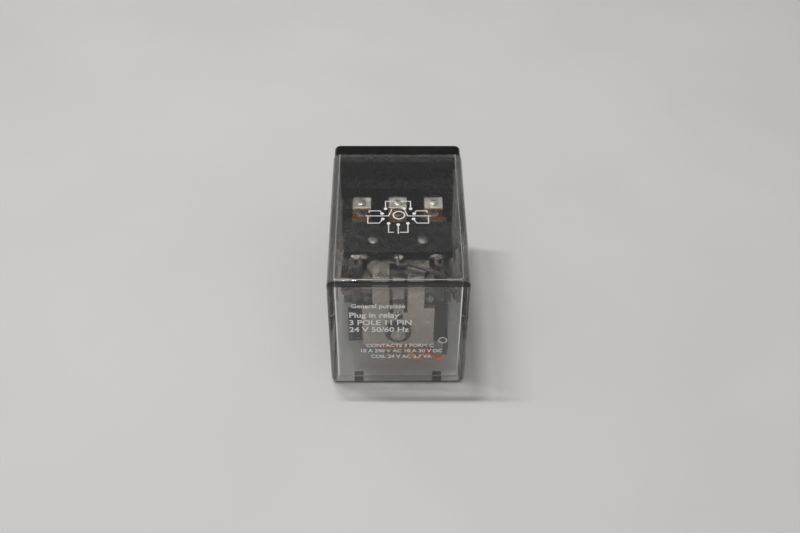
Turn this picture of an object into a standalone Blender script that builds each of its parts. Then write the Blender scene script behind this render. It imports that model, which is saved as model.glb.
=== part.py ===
"""Plug-in relay with eleven pins and a clear cover, lying on one long side.

X runs across the relay, Y from the closed end of the cover to the plug, Z is up.
Sizes are in millimetres, and places along Y are counted from the closed end. at()
turns them into metres about the middle of the footprint, where the origin is.
"""

import math

import bmesh
import bpy
from mathutils import Matrix, Vector

MM = 0.001
GAP = 0.3            # clearance between separate pieces
FINE_GAP = 0.15      # clearance around the small contact rivets
MARGIN = 5.0         # how far a cutter runs past the face that it cuts

# Cover
COVER_HALF = 17.9
COVER_HEIGHT = 38.9
COVER_LENGTH = 50.0
WALL = 1.8
EDGE_RADIUS = 2.0
END_RADIUS = 0.6
VENT_X = 10.5
VENT_SIZE = (2.4, 1.7)
VENT_START = WALL + 0.1

# Base and plug
FLANGE_START = COVER_LENGTH + GAP
FLANGE_END = 54.1
SPIGOT_START = 48.0
SPIGOT_END = FLANGE_START + 1.7      # these three run different depths into the flange
HEADER_END = FLANGE_START + 1.0
HEADER_BOSS_END = FLANGE_START + 0.6
HEADER_START = 44.3
HEADER_HALF = 15.2
HEADER_BOTTOM = 3.5
HEADER_TOP = 30.4
HEADER_BOSS_WIDTH = 4.7
HEADER_BOSS_RISE = 0.7
BOSS_RADIUS = 14.5
BOSS_END = FLANGE_END + 1.0
POST_RADIUS = 3.9
POST_LENGTH = 14.3
POST_CHAMFER = 0.8
KEY_WIDTH = 1.7
KEY_RISE = 1.1
LENGTH = FLANGE_END + POST_LENGTH
AXIS_Z = COVER_HEIGHT / 2

PIN_COUNT = 11
PIN_CIRCLE_RADIUS = 19.05 / 2
PIN_RADIUS = 1.18
PIN_LENGTH = 11.1
PIN_START = 46.7

# Coil
COIL_Z = 14.8
CORE_RADIUS = 4.0
POLE_RADIUS = 5.0
POLE_FACE = 7.1
POLE_THICKNESS = 0.6
STAKE_RADIUS = 2.4
STAKE_RISE = 0.8
RING_INNER = 2.7
RING_OUTER = 3.4
RING_DEPTH = (0.2, 1.3)
GROOVE_DEPTH = 1.6
BOBBIN_FRONT = 8.0
BOBBIN_BACK = 27.7
FRONT_FLANGE_HALF = 13.2
FRONT_FLANGE_TOP = 23.6
FRONT_FLANGE_BOTTOM = 9.2
SHELF_HALF = 10.6
SHELF_TOP = 21.0
BACK_FLANGE_HALF = 12.0
BACK_FLANGE_TOP = 26.0
BACK_FLANGE_BOTTOM = 3.2
FLANGE_THICKNESS = 1.2
TUBE_WALL = 1.0
WINDING_RADIUS = 11.8
TAPE_THICKNESS = 0.4

# Frame, a bent steel plate
PLATE = 1.6
FRAME_HALF = 9.3
FRAME_FRONT = 6.3
FRAME_TOP = 31.0
FRAME_BOTTOM = 3.0
FRAME_BACK = BOBBIN_BACK + GAP + PLATE
EAR_HALF = 15.3
EAR_TOP = 11.0
TONGUE_HALF = 1.5
TONGUE_FRONT = 2.6
FRAME_BEND = 2.4
SCREW_X = 12.5
SCREW_Z = 7.0
SCREW_RADIUS = 1.25
SPACER_RADIUS = 2.6
SCREW_HEAD_RADIUS = 2.3
SCREW_HEAD_THICKNESS = 1.7
SCREW_HEAD_CHAMFER = 0.3
SCREW_SLOT_HALF = 0.4
SCREW_SLOT_DEPTH = 0.8
COUNTERBORE_START = 51.9

# Armature, hinged on the frame's top front edge
ARMATURE_FRONT = 4.4
ARMATURE_BOTTOM = 11.6
TAIL_UNDER = FRAME_TOP + GAP
TAIL_THICKNESS = 1.4
TAIL_TOP = TAIL_UNDER + TAIL_THICKNESS
TAIL_END = 24.0
TAIL_HALF = 8.0
ARMATURE_BEND = 2.0
SHOULDER_Z = 25.5
NECK_HALF = 6.6
NECK_END = 8.0
TAIL_START = 10.0
SLOT_HALF = 2.3
SLOT_BOTTOM = 24.0
SLOT_BACK = 12.0
SPRING_LUG_FRONT = 2.4
SPRING_LUG_HALF = 1.2
SPRING_LUG_THICKNESS = 0.8
HINGE_Y = FRAME_FRONT - GAP / 2
HINGE_Z = FRAME_TOP + GAP / 2
RESIDUAL_Z = 17.0
RESIDUAL_HOLE = 1.3
RESIDUAL_SHANK = 1.0
RESIDUAL_HEAD = 1.9
RESIDUAL_DOME = (0.25, 1.0)
WASHER_RADIUS = 3.4
WASHER_THICKNESS = 0.6
SPRING_Y = 4.0
SPRING_RADIUS = 1.3
SPRING_WIRE = 0.2
SPRING_TURNS = 7

# Contact stack, one pole at each POLE_X
POLE_X = {"left": -9.8, "center": 0.0, "right": 9.8}
INSULATOR_HALF = 14.0
INSULATOR_FRONT = 13.5
INSULATOR_BACK = 25.0
INSULATOR_BOTTOM = TAIL_TOP + GAP
INSULATOR_TOP = 35.2
RIVET_X = 6.4
RIVET_Y = 17.8
RIVET_HOLE = 1.0
RIVET_HEAD = 1.7
RIVET_DOME = (0.15, 0.6)
ARM_THICKNESS = 0.35
ARM_TAIL_FRONT = 10.5
ARM_TAIL_Z = 34.05
ARM_TAIL_HALF = 1.5
ARM_HALF = 2.5
ARM_STEP = [(29.5, 33.0), (33.5, 27.175)]
ARM_END = 39.0
ARM_Z = ARM_STEP[-1][1]
CONTACT_Y = 37.0
CONTACT_RADIUS = 1.5
CONTACT_HEAD = 0.6
UPSET_RADIUS = 1.15
UPSET_HEAD = 0.4
SHANK_RADIUS = 0.7
TAB_THICKNESS = 0.8
TAB_FRONT = 35.0
TAB_HALF = 2.5
TERMINAL_TAIL_HALF = 1.5
TERMINAL_END = 45.6
UPPER_TAB_Z = 30.8
UPPER_LEG_Y = 40.0
UPPER_TAIL_Z = 21.8
LOWER_TAB_Z = 24.8
LOWER_LEG_Y = 38.7
LOWER_TAIL_Z = 18.6
BEND = 0.7

# Wires
LUG_X = 7.9
LUG_Z = 23.9
LUG_HALF = 0.8
LUG_HEIGHT = 2.3
LUG_START = 8.2
LUG_END = 8.9
BEAD_RADIUS = 1.05
BRAID_RADIUS = 0.6
LEAD_RADIUS = 0.65
WIRE_END = HEADER_START - HEADER_BOSS_RISE - GAP

PALETTE = {
    "clear_cover": ((0.85, 0.87, 0.86, 0.3), 0.05, 0.0),
    "black_phenolic": ((0.02, 0.02, 0.022, 1.0), 0.45, 0.0),
    "pin_nickel": ((0.62, 0.62, 0.6, 1.0), 0.3, 1.0),
    "frame_steel": ((0.6, 0.57, 0.52, 1.0), 0.4, 1.0),
    "core_steel": ((0.5, 0.5, 0.5, 1.0), 0.35, 1.0),
    "copper": ((0.72, 0.38, 0.22, 1.0), 0.35, 1.0),
    "bobbin_black": ((0.015, 0.015, 0.017, 1.0), 0.5, 0.0),
    "winding_red": ((0.45, 0.1, 0.04, 1.0), 0.35, 0.3),
    "tape_black": ((0.02, 0.02, 0.02, 1.0), 0.7, 0.0),
    "fibre_black": ((0.02, 0.018, 0.016, 1.0), 0.6, 0.0),
    "rivet_steel": ((0.65, 0.64, 0.62, 1.0), 0.3, 1.0),
    "spring_steel": ((0.55, 0.55, 0.55, 1.0), 0.3, 1.0),
    "insulator_black": ((0.02, 0.02, 0.022, 1.0), 0.45, 0.0),
    "bronze_arm": ((0.55, 0.3, 0.16, 1.0), 0.4, 1.0),
    "contact_silver": ((0.85, 0.85, 0.83, 1.0), 0.25, 1.0),
    "tab_silver": ((0.8, 0.8, 0.76, 1.0), 0.25, 1.0),
    "solder": ((0.75, 0.75, 0.73, 1.0), 0.25, 1.0),
    "copper_braid": ((0.55, 0.42, 0.32, 1.0), 0.45, 1.0),
    "orange_lead": ((0.8, 0.25, 0.05, 1.0), 0.5, 0.0),
    "brown_lead": ((0.35, 0.1, 0.05, 1.0), 0.5, 0.0),
}


def at(x, y, z):
    """The point in metres for millimetres, with y counted from the closed end."""
    return Vector((x, y - LENGTH / 2, z)) * MM


def clear_scene():
    for item in list(bpy.data.objects):
        bpy.data.objects.remove(item, do_unlink=True)


def make_materials():
    made = {}
    for name, (colour, roughness, metallic) in PALETTE.items():
        item = bpy.data.materials.new(name)
        item.use_nodes = True
        shader = item.node_tree.nodes["Principled BSDF"]
        shader.inputs["Base Color"].default_value = colour
        shader.inputs["Roughness"].default_value = roughness
        shader.inputs["Metallic"].default_value = metallic
        shader.inputs["Alpha"].default_value = colour[3]
        made[name] = item
    return made


def add_object(name, data, material=None):
    item = bpy.data.objects.new(name, data)
    bpy.context.scene.collection.objects.link(item)
    if material:
        data.materials.append(materials[material])
    return item


def add_solid(name, shape, material):
    """An object from a bmesh, with its faces pointing out."""
    bmesh.ops.recalc_face_normals(shape, faces=shape.faces)
    mesh = bpy.data.meshes.new(name)
    shape.to_mesh(mesh)
    shape.free()
    item = add_object(name, mesh, material)
    mesh.shade_smooth()
    mesh.set_sharp_from_angle(angle=math.radians(35))
    return item


def combine(target, shape, operation, name):
    """Adds or cuts away one shape with a Boolean."""
    helper = add_solid(f"{target.name}_{name}", shape, None)
    helper.hide_render = True
    helper.display_type = "WIRE"
    boolean = target.modifiers.new(name, "BOOLEAN")
    boolean.operation = operation
    boolean.object = helper


def merge(shapes):
    """One bmesh that holds several shapes that don't touch."""
    whole = bmesh.new()
    for shape in shapes:
        mesh = bpy.data.meshes.new("piece")
        bmesh.ops.recalc_face_normals(shape, faces=shape.faces)
        shape.to_mesh(mesh)
        shape.free()
        whole.from_mesh(mesh)
        bpy.data.meshes.remove(mesh)
    return whole


def cap(shape, ring):
    shape.faces.new(ring)


def bridge(shape, first, second):
    """Walls between two rings, either of which may be a single point."""
    count = max(len(first), len(second))
    for i in range(count):
        j = (i + 1) % count
        corners = [first[i % len(first)], first[j % len(first)]]
        corners += [second[j % len(second)], second[i % len(second)]]
        face = [corner for n, corner in enumerate(corners) if corner not in corners[:n]]
        shape.faces.new(face)


def loft(sections):
    """A closed solid through rings of points, each ring given in millimetres."""
    shape = bmesh.new()
    rings = [[shape.verts.new(at(*point)) for point in section] for section in sections]
    for first, second in zip(rings, rings[1:]):
        bridge(shape, first, second)
    for ring in (rings[0], rings[-1]):
        cap(shape, ring)
    return shape


def prism(outline, axis, start, end):
    """An outline extruded along X, Y or Z. The outline's pairs are the other two axes."""
    place = {
        "X": lambda u, v, w: (w, u, v),
        "Y": lambda u, v, w: (u, w, v),
        "Z": lambda u, v, w: (u, v, w),
    }[axis]
    return loft([[place(u, v, w) for u, v in outline] for w in (start, end)])


def box(low, high):
    (x0, y0, z0), (x1, y1, z1) = low, high
    return prism([(x0, z0), (x1, z0), (x1, z1), (x0, z1)], "Y", y0, y1)


def arc(centre, radius, start, end, steps):
    """Points on a circle between two angles in degrees, both ends included."""
    turns = [math.radians(start + (end - start) * i / steps) for i in range(steps + 1)]
    return [(centre[0] + radius * math.cos(t), centre[1] + radius * math.sin(t)) for t in turns]


def rounded_rectangle(half, bottom, top, radius, inset=0.0, steps=5):
    """A rectangle centred on X with round corners, optionally drawn in all round."""
    radius = max(radius - inset, 0.05)
    right, low, high = half - inset - radius, bottom + inset + radius, top - inset - radius
    corners = [((right, high), 0), ((-right, high), 90), ((-right, low), 180), ((right, low), 270)]
    return [p for centre, start in corners for p in arc(centre, radius, start, start + 90, steps)]


def lathe(profile, centre, axis="Y", steps=16, closed=False):
    """A turned solid. The profile's pairs are radius and place along the axis."""
    shape = bmesh.new()
    rings = []
    for radius, along in profile:
        turns = [math.tau * i / steps for i in range(steps)] if radius else [0.0]
        ring = []
        for turn in turns:
            u, v = radius * math.cos(turn), radius * math.sin(turn)
            if axis == "Y":
                ring.append(shape.verts.new(at(centre[0] + u, along, centre[1] + v)))
            else:
                ring.append(shape.verts.new(at(centre[0] + u, centre[1] + v, along)))
        rings.append(ring)
    pairs = list(zip(rings, rings[1:]))
    if closed:
        pairs.append((rings[-1], rings[0]))
    for first, second in pairs:
        bridge(shape, first, second)
    return shape


def cylinder(radius, start, end, centre, axis="Y", steps=16):
    profile = [(0, start), (radius, start), (radius, end), (0, end)]
    return lathe(profile, centre, axis, steps)


def washer(inner, outer, start, end, centre, axis="Y", steps=28):
    profile = [(inner, start), (outer, start), (outer, end), (inner, end)]
    return lathe(profile, centre, axis, steps, closed=True)


def dome(radius, rim, tip, steps=3):
    """The profile of a domed head, from its rim to the point on its axis."""
    rounds = [math.radians(90 * i / steps) for i in range(steps)]
    points = [(radius * math.cos(t), rim + (tip - rim) * math.sin(t)) for t in rounds]
    return points + [(0, tip)]


def strip(path, half_widths, thickness, x):
    """Sheet metal bent along a path of (y, z) points, with a half width at each point."""
    sections = []
    for i, (y, z) in enumerate(path):
        before = Vector(path[max(i - 1, 0)])
        here = Vector(path[i])
        after = Vector(path[min(i + 1, len(path) - 1)])
        into = (here - before).normalized() if i else (after - here).normalized()
        out = (after - here).normalized() if i < len(path) - 1 else into
        along = (into + out).normalized()
        half = thickness / 2 / max(along.dot(into), 0.5)
        side = Vector((-along.y, along.x)) * half
        w = half_widths[i]
        low, high = here - side, here + side
        sections.append([(x - w, *low), (x + w, *low), (x + w, *high), (x - w, *high)])
    return loft(sections)


def smooth_route(points, spacing):
    """Evenly spaced points on a smooth curve through a route's own points."""
    ends = [points[0] * 2 - points[1], points[-1] * 2 - points[-2]]
    posts = [ends[0], *points, ends[1]]
    route = [points[0]]
    for a, b, c, d in zip(posts, posts[1:], posts[2:], posts[3:]):
        steps = max(2, round((c - b).length / spacing))
        for i in range(1, steps + 1):
            t = i / steps
            tangent = (c - a) * t + (2 * a - 5 * b + 4 * c - d) * t**2
            route.append(b + (tangent + (3 * b - a - 3 * c + d) * t**3) / 2)
    return route


def tube(name, route, radius, material, bevel_resolution=2):
    """A round wire along a route of points in metres, closed at both ends."""
    curve = bpy.data.curves.new(name, "CURVE")
    curve.dimensions = "3D"
    curve.bevel_depth = radius * MM
    curve.bevel_resolution = bevel_resolution
    curve.use_fill_caps = True
    spline = curve.splines.new("POLY")
    spline.points.add(len(route) - 1)
    for point, place in zip(spline.points, route):
        point.co = (*place, 1)
    return add_object(name, curve, material)


def make_cover():
    """A clear box, open at the plug end, with two small vents in its lower wall."""
    sections = []
    for i in range(4):
        turn = math.radians(90 * i / 3)
        inset = END_RADIUS * (1 - math.sin(turn))
        outline = rounded_rectangle(COVER_HALF, 0, COVER_HEIGHT, EDGE_RADIUS, inset)
        y = END_RADIUS * (1 - math.cos(turn))
        sections.append([(x, y, z) for x, z in outline])
    rim = rounded_rectangle(COVER_HALF, 0, COVER_HEIGHT, EDGE_RADIUS)
    sections.append([(x, COVER_LENGTH, z) for x, z in rim])
    cover = add_solid("cover", loft(sections), "clear_cover")
    inside = rounded_rectangle(COVER_HALF, 0, COVER_HEIGHT, EDGE_RADIUS, WALL)
    hollow = prism(inside, "Y", WALL, COVER_LENGTH + MARGIN)
    combine(cover, hollow, "DIFFERENCE", "hollow")
    width, depth = VENT_SIZE
    vents = []
    for side in (-1, 1):
        x = side * VENT_X
        low = (x - width / 2, VENT_START, -MARGIN)
        vents.append(box(low, (x + width / 2, VENT_START + depth, WALL + MARGIN)))
    combine(cover, merge(vents), "DIFFERENCE", "vents")
    return cover


def terminal_pocket(x, z):
    """The slot in the header that takes the tail of one fixed terminal."""
    half, rise = TERMINAL_TAIL_HALF + GAP, TAB_THICKNESS / 2 + GAP
    low = (x - half, HEADER_START - MARGIN, z - rise)
    return box(low, (x + half, TERMINAL_END + GAP, z + rise))


def screw_hole(side):
    """A clearance hole through the base, with its counterbore at the plug end."""
    hole = SCREW_RADIUS + GAP
    counterbore = SCREW_HEAD_RADIUS + GAP
    profile = [(0, HEADER_START - MARGIN), (hole, HEADER_START - MARGIN)]
    profile += [(hole, COUNTERBORE_START), (counterbore, COUNTERBORE_START)]
    profile += [(counterbore, FLANGE_END + MARGIN), (0, FLANGE_END + MARGIN)]
    return lathe(profile, (side * SCREW_X, SCREW_Z))


def pin_places():
    """The pins' centres, evenly round the circle, with a gap at the top for the key."""
    for i in range(PIN_COUNT):
        turn = math.tau * (i + 0.5) / PIN_COUNT
        x = PIN_CIRCLE_RADIUS * math.sin(turn)
        yield x, AXIS_Z + PIN_CIRCLE_RADIUS * math.cos(turn)


def make_base():
    """The phenolic base: flange, spigot, header, round boss, and keyed post."""
    flange = rounded_rectangle(COVER_HALF, 0, COVER_HEIGHT, EDGE_RADIUS, GAP)
    base = add_solid("base", prism(flange, "Y", FLANGE_START, FLANGE_END), "black_phenolic")
    spigot = rounded_rectangle(COVER_HALF, 0, COVER_HEIGHT, EDGE_RADIUS, WALL + GAP)
    combine(base, prism(spigot, "Y", SPIGOT_START, SPIGOT_END), "UNION", "spigot")
    low = (-HEADER_HALF, HEADER_START, HEADER_BOTTOM)
    header = box(low, (HEADER_HALF, HEADER_END, HEADER_TOP))
    combine(base, header, "UNION", "header")
    for name, side in (("left", -1), ("right", 1)):
        edge = side * (HEADER_HALF + HEADER_BOSS_RISE / 4)
        x0, x1 = sorted((edge, edge - side * HEADER_BOSS_WIDTH))
        low = (x0, HEADER_START - HEADER_BOSS_RISE, HEADER_BOTTOM - HEADER_BOSS_RISE)
        high = (x1, HEADER_BOSS_END, HEADER_TOP + HEADER_BOSS_RISE)
        combine(base, box(low, high), "UNION", f"{name}_header_boss")
    boss = cylinder(BOSS_RADIUS, FLANGE_END - 1.5, BOSS_END, (0, AXIS_Z), steps=48)
    combine(base, boss, "UNION", "round_boss")
    tip = POST_RADIUS - POST_CHAMFER
    profile = [(0, FLANGE_END - 1), (POST_RADIUS, FLANGE_END - 1)]
    profile += [(POST_RADIUS, LENGTH - POST_CHAMFER), (tip, LENGTH), (0, LENGTH)]
    combine(base, lathe(profile, (0, AXIS_Z), steps=28), "UNION", "post")
    key_top = AXIS_Z + POST_RADIUS + KEY_RISE
    low = (-KEY_WIDTH / 2, FLANGE_END - 0.5, AXIS_Z + POST_RADIUS / 2)
    key = box(low, (KEY_WIDTH / 2, LENGTH - 2 * POST_CHAMFER, key_top))
    combine(base, key, "UNION", "key")
    holes = []
    for place in pin_places():
        holes.append(cylinder(PIN_RADIUS + GAP, PIN_START - GAP, BOSS_END + MARGIN, place, steps=12))
    for x in POLE_X.values():
        holes += [terminal_pocket(x, z) for z in (UPPER_TAIL_Z, LOWER_TAIL_Z)]
    holes += [screw_hole(side) for side in (-1, 1)]
    combine(base, merge(holes), "DIFFERENCE", "holes")
    return base


def make_pins():
    """Eleven hollow-tube style pins with rounded tips, numbered clockwise from the key."""
    end = FLANGE_END + PIN_LENGTH
    profile = [(0, PIN_START), (PIN_RADIUS, PIN_START)]
    profile += dome(PIN_RADIUS, end - PIN_RADIUS * 0.7, end)
    return [
        add_solid(f"pin_{i:02d}", lathe(profile, place, steps=12), "pin_nickel")
        for i, place in enumerate(pin_places(), 1)
    ]


def make_frame():
    """The L-shaped steel heelpiece: top leg, back leg with two ears, and spring tongue."""
    inner = FRAME_TOP - PLATE
    back = FRAME_BACK
    bend = arc((back - FRAME_BEND, FRAME_TOP - FRAME_BEND), FRAME_BEND, 0, 90, 5)
    profile = [(TONGUE_FRONT, inner), (back - PLATE, inner), (back - PLATE, FRAME_BOTTOM)]
    profile += [(back, FRAME_BOTTOM), *bend, (TONGUE_FRONT, FRAME_TOP)]
    frame = add_solid("frame", prism(profile, "X", -EAR_HALF, EAR_HALF), "frame_steel")
    far = EAR_HALF + MARGIN
    sides = []
    for side in (-1, 1):
        outline = [(FRAME_HALF, back + MARGIN), (FRAME_HALF, FRAME_FRONT), (TONGUE_HALF, FRAME_FRONT)]
        outline += [(TONGUE_HALF, -MARGIN), (far, -MARGIN), (far, back + MARGIN)]
        outline = [(side * x, y) for x, y in outline]
        sides.append(prism(outline, "Z", EAR_TOP, FRAME_TOP + MARGIN))
    combine(frame, merge(sides), "DIFFERENCE", "sides")
    start, end = back - PLATE - MARGIN, back + MARGIN
    holes = [cylinder(STAKE_RADIUS + GAP, start, end, (0, COIL_Z))]
    for side in (-1, 1):
        holes.append(cylinder(SCREW_RADIUS + GAP, start, end, (side * SCREW_X, SCREW_Z)))
    combine(frame, merge(holes), "DIFFERENCE", "holes")
    return frame


def make_frame_fasteners():
    """Two slotted screws from the base, each through a spacer and into a frame ear."""
    made = []
    head_start = COUNTERBORE_START + GAP
    head_end = head_start + SCREW_HEAD_THICKNESS
    for name, side in (("left", -1), ("right", 1)):
        place = (side * SCREW_X, SCREW_Z)
        spacer = washer(SCREW_RADIUS + GAP, SPACER_RADIUS, FRAME_BACK + GAP, WIRE_END, place, steps=20)
        made.append(add_solid(f"frame_spacer_{name}", spacer, "core_steel"))
        tip = FRAME_BACK - PLATE + GAP / 3
        profile = [(0, tip), (SCREW_RADIUS, tip), (SCREW_RADIUS, head_start)]
        profile += [(SCREW_HEAD_RADIUS, head_start), (SCREW_HEAD_RADIUS, head_end - SCREW_HEAD_CHAMFER)]
        profile += [(SCREW_HEAD_RADIUS - SCREW_HEAD_CHAMFER, head_end), (0, head_end)]
        screw = add_solid(f"frame_screw_{name}", lathe(profile, place), "rivet_steel")
        x0, x1 = place[0] - SCREW_SLOT_HALF, place[0] + SCREW_SLOT_HALF
        low = (x0, head_end - SCREW_SLOT_DEPTH, SCREW_Z - MARGIN)
        slot = box(low, (x1, head_end + MARGIN, SCREW_Z + MARGIN))
        combine(screw, slot, "DIFFERENCE", "slot")
        made.append(screw)
    return made


def make_core():
    """The iron core, with a pole head in front and a stake through the frame behind."""
    shoulder = FRAME_BACK - PLATE - GAP
    head = POLE_FACE + POLE_THICKNESS
    end = FRAME_BACK + STAKE_RISE
    profile = [(0, POLE_FACE), (POLE_RADIUS, POLE_FACE), (POLE_RADIUS, head), (CORE_RADIUS, head)]
    profile += [(CORE_RADIUS, shoulder), (STAKE_RADIUS, shoulder), (STAKE_RADIUS, end), (0, end)]
    core = add_solid("core", lathe(profile, (0, COIL_Z), steps=24), "core_steel")
    start, end = POLE_FACE - MARGIN, POLE_FACE + GROOVE_DEPTH
    groove = washer(RING_INNER - GAP, RING_OUTER + GAP, start, end, (0, COIL_Z))
    combine(core, groove, "DIFFERENCE", "groove")
    start, end = (POLE_FACE + depth for depth in RING_DEPTH)
    ring = washer(RING_INNER, RING_OUTER, start, end, (0, COIL_Z))
    return [core, add_solid("shading_ring", ring, "copper")]


def make_bobbin():
    """The coil former: a stepped front flange, a tube, and a plain back flange."""
    front_end = BOBBIN_FRONT + FLANGE_THICKNESS
    half, low, high = FRONT_FLANGE_HALF, FRONT_FLANGE_BOTTOM, FRONT_FLANGE_TOP
    outline = [(-half, low), (half, low), *arc((half - 1.6, high - 1.6), 1.6, 0, 90, 4)]
    outline += [(-SHELF_HALF, high), (-SHELF_HALF, SHELF_TOP), (-half, SHELF_TOP)]
    front = prism(outline, "Y", BOBBIN_FRONT, front_end)
    bobbin = add_solid("bobbin", front, "bobbin_black")
    low = (-BACK_FLANGE_HALF, BOBBIN_BACK - FLANGE_THICKNESS, BACK_FLANGE_BOTTOM)
    back = box(low, (BACK_FLANGE_HALF, BOBBIN_BACK, BACK_FLANGE_TOP))
    combine(bobbin, back, "UNION", "back_flange")
    radius = CORE_RADIUS + GAP + TUBE_WALL
    tube_shape = cylinder(radius, BOBBIN_FRONT + 0.5, BOBBIN_BACK - 0.5, (0, COIL_Z), steps=24)
    combine(bobbin, tube_shape, "UNION", "tube")
    bore = cylinder(CORE_RADIUS + GAP, BOBBIN_FRONT - MARGIN, BOBBIN_BACK + MARGIN, (0, COIL_Z), steps=24)
    combine(bobbin, bore, "DIFFERENCE", "bore")
    return bobbin


def make_windings():
    """The enamelled winding between the flanges, and the tape wrapped round it."""
    start = BOBBIN_FRONT + FLANGE_THICKNESS + GAP
    end = BOBBIN_BACK - FLANGE_THICKNESS - GAP
    inner = CORE_RADIUS + TUBE_WALL + 2 * GAP
    winding = washer(inner, WINDING_RADIUS, start, end, (0, COIL_Z))
    inner = WINDING_RADIUS + GAP
    tape = washer(inner, inner + TAPE_THICKNESS, start + 1, end - 1, (0, COIL_Z))
    return [
        add_solid("winding", winding, "winding_red"),
        add_solid("coil_tape", tape, "tape_black"),
    ]


def make_coil_lugs():
    """Two solder lugs standing on the front flange, each with a bead of solder."""
    made = []
    for name, side in (("left", -1), ("right", 1)):
        x = side * LUG_X
        low, high = (x - LUG_HALF, LUG_START, LUG_Z), (x + LUG_HALF, LUG_END, LUG_Z + LUG_HEIGHT)
        lug = add_solid(f"coil_lug_{name}", box(low, high), "solder")
        middle, radius = LUG_Z + LUG_HEIGHT / 2, BEAD_RADIUS
        turns = [math.radians(180 * i / 6) for i in range(7)]
        profile = [(radius * math.sin(t), middle - radius * math.cos(t)) for t in turns]
        profile[0], profile[-1] = (0, middle - radius), (0, middle + radius)
        bead = lathe(profile, (x, LUG_START + 0.1), "Z", steps=12)
        combine(lug, bead, "UNION", "bead")
        made.append(lug)
    return made


def make_wires():
    """The two coil leads and the three braids, each along its own route to the header."""
    left_lead = [(-7.6, 9.9, 27.6), (-9.5, 11.3, 26.4), (-12.6, 13.6, 22), (-14.8, 18.5, 17.5)]
    left_lead += [(-15.0, 28, 15.5), (-14.4, 37, 15.2), (-13.2, WIRE_END, 15)]
    right_lead = [(3.0, 9.0, 5.6), (4.4, 7.3, 3.4), (5.9, 7.2, 3.0), (7.7, 10.4, 3.0)]
    right_lead += [(9.3, 8.4, 2.9), (11.0, 7.0, 3.0), (12.5, 7.6, 3.8), (13.0, 10, 5.2)]
    right_lead += [(12.9, 13, 6.6), (12.9, 20, 9.0), (13.6, 26, 12), (13.8, 30, 13)]
    right_lead += [(13.6, 37, 13.6), (13.2, WIRE_END, 14)]
    left_braid = [(-9.8, 10.0, 34.05), (-11.6, 9.2, 33.2), (-13.2, 9.8, 30.5), (-13.7, 12, 26.5)]
    left_braid += [(-13.8, 17, 22), (-13.9, 26, 20.5), (-13.8, 36, 20), (-13.6, WIRE_END, 19.8)]
    center_braid = [(0, 10.0, 34.05), (3.4, 9.4, 34.5), (8.2, 7.4, 34.3), (11.4, 7.2, 32.6)]
    center_braid += [(14.4, 8.2, 28.5), (15.0, 11, 22.5), (14.9, 18, 18), (14.6, 26, 17)]
    center_braid += [(14.2, 38, 16.4), (13.4, WIRE_END, 16.4)]
    right_braid = [(9.8, 10.0, 34.05), (11.6, 9.6, 33.4), (13.0, 10.4, 30.5), (13.6, 12.4, 26.5)]
    right_braid += [(13.7, 17, 22), (13.9, 26, 20.5), (13.8, 36, 20), (13.6, WIRE_END, 19.8)]
    wires = [
        ("coil_lead_left", left_lead, LEAD_RADIUS, "brown_lead"),
        ("coil_lead_right", right_lead, LEAD_RADIUS, "orange_lead"),
        ("braid_left", left_braid, BRAID_RADIUS, "copper_braid"),
        ("braid_center", center_braid, BRAID_RADIUS, "copper_braid"),
        ("braid_right", right_braid, BRAID_RADIUS, "copper_braid"),
    ]
    made = []
    for name, points, radius, material in wires:
        route = smooth_route([at(*point) for point in points], 3.0 * radius * MM)
        made.append(tube(name, route, radius, material))
    return made


def make_armature():
    """The L-shaped armature plate, slotted for the frame's tongue and the return spring."""
    back = ARMATURE_FRONT + PLATE
    bend = arc((ARMATURE_FRONT + ARMATURE_BEND, TAIL_TOP - ARMATURE_BEND), ARMATURE_BEND, 90, 180, 5)
    profile = [(ARMATURE_FRONT, ARMATURE_BOTTOM), (back, ARMATURE_BOTTOM), (back, TAIL_UNDER)]
    profile += [(TAIL_END, TAIL_UNDER), (TAIL_END, TAIL_TOP), *bend]
    shape = prism(profile, "X", -FRAME_HALF, FRAME_HALF)
    armature = add_solid("armature", shape, "frame_steel")
    far = FRAME_HALF + MARGIN
    cutters = []
    for side in (-1, 1):
        outline = [(NECK_HALF, -MARGIN), (NECK_HALF, NECK_END), (TAIL_HALF, TAIL_START)]
        outline += [(TAIL_HALF, TAIL_END + MARGIN), (far, TAIL_END + MARGIN), (far, -MARGIN)]
        outline = [(side * x, y) for x, y in outline]
        cutters.append(prism(outline, "Z", SHOULDER_Z, TAIL_TOP + MARGIN))
    low = (-SLOT_HALF, -MARGIN, SLOT_BOTTOM)
    cutters.append(box(low, (SLOT_HALF, SLOT_BACK, TAIL_TOP + MARGIN)))
    cutters.append(cylinder(RESIDUAL_HOLE, -MARGIN, back + MARGIN, (0, RESIDUAL_Z)))
    for side in (-1, 1):
        place = (side * RIVET_X, RIVET_Y)
        cutters.append(cylinder(RIVET_HOLE, TAIL_UNDER - 1, TAIL_TOP + 1, place, "Z", steps=12))
    combine(armature, merge(cutters), "DIFFERENCE", "cut_outs")
    lug_top = SLOT_BOTTOM - 0.1
    low = (-SPRING_LUG_HALF, SPRING_LUG_FRONT, lug_top - SPRING_LUG_THICKNESS)
    lug = box(low, (SPRING_LUG_HALF, ARMATURE_FRONT + PLATE / 2, lug_top))
    combine(armature, lug, "UNION", "spring_lug")
    return armature


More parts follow.
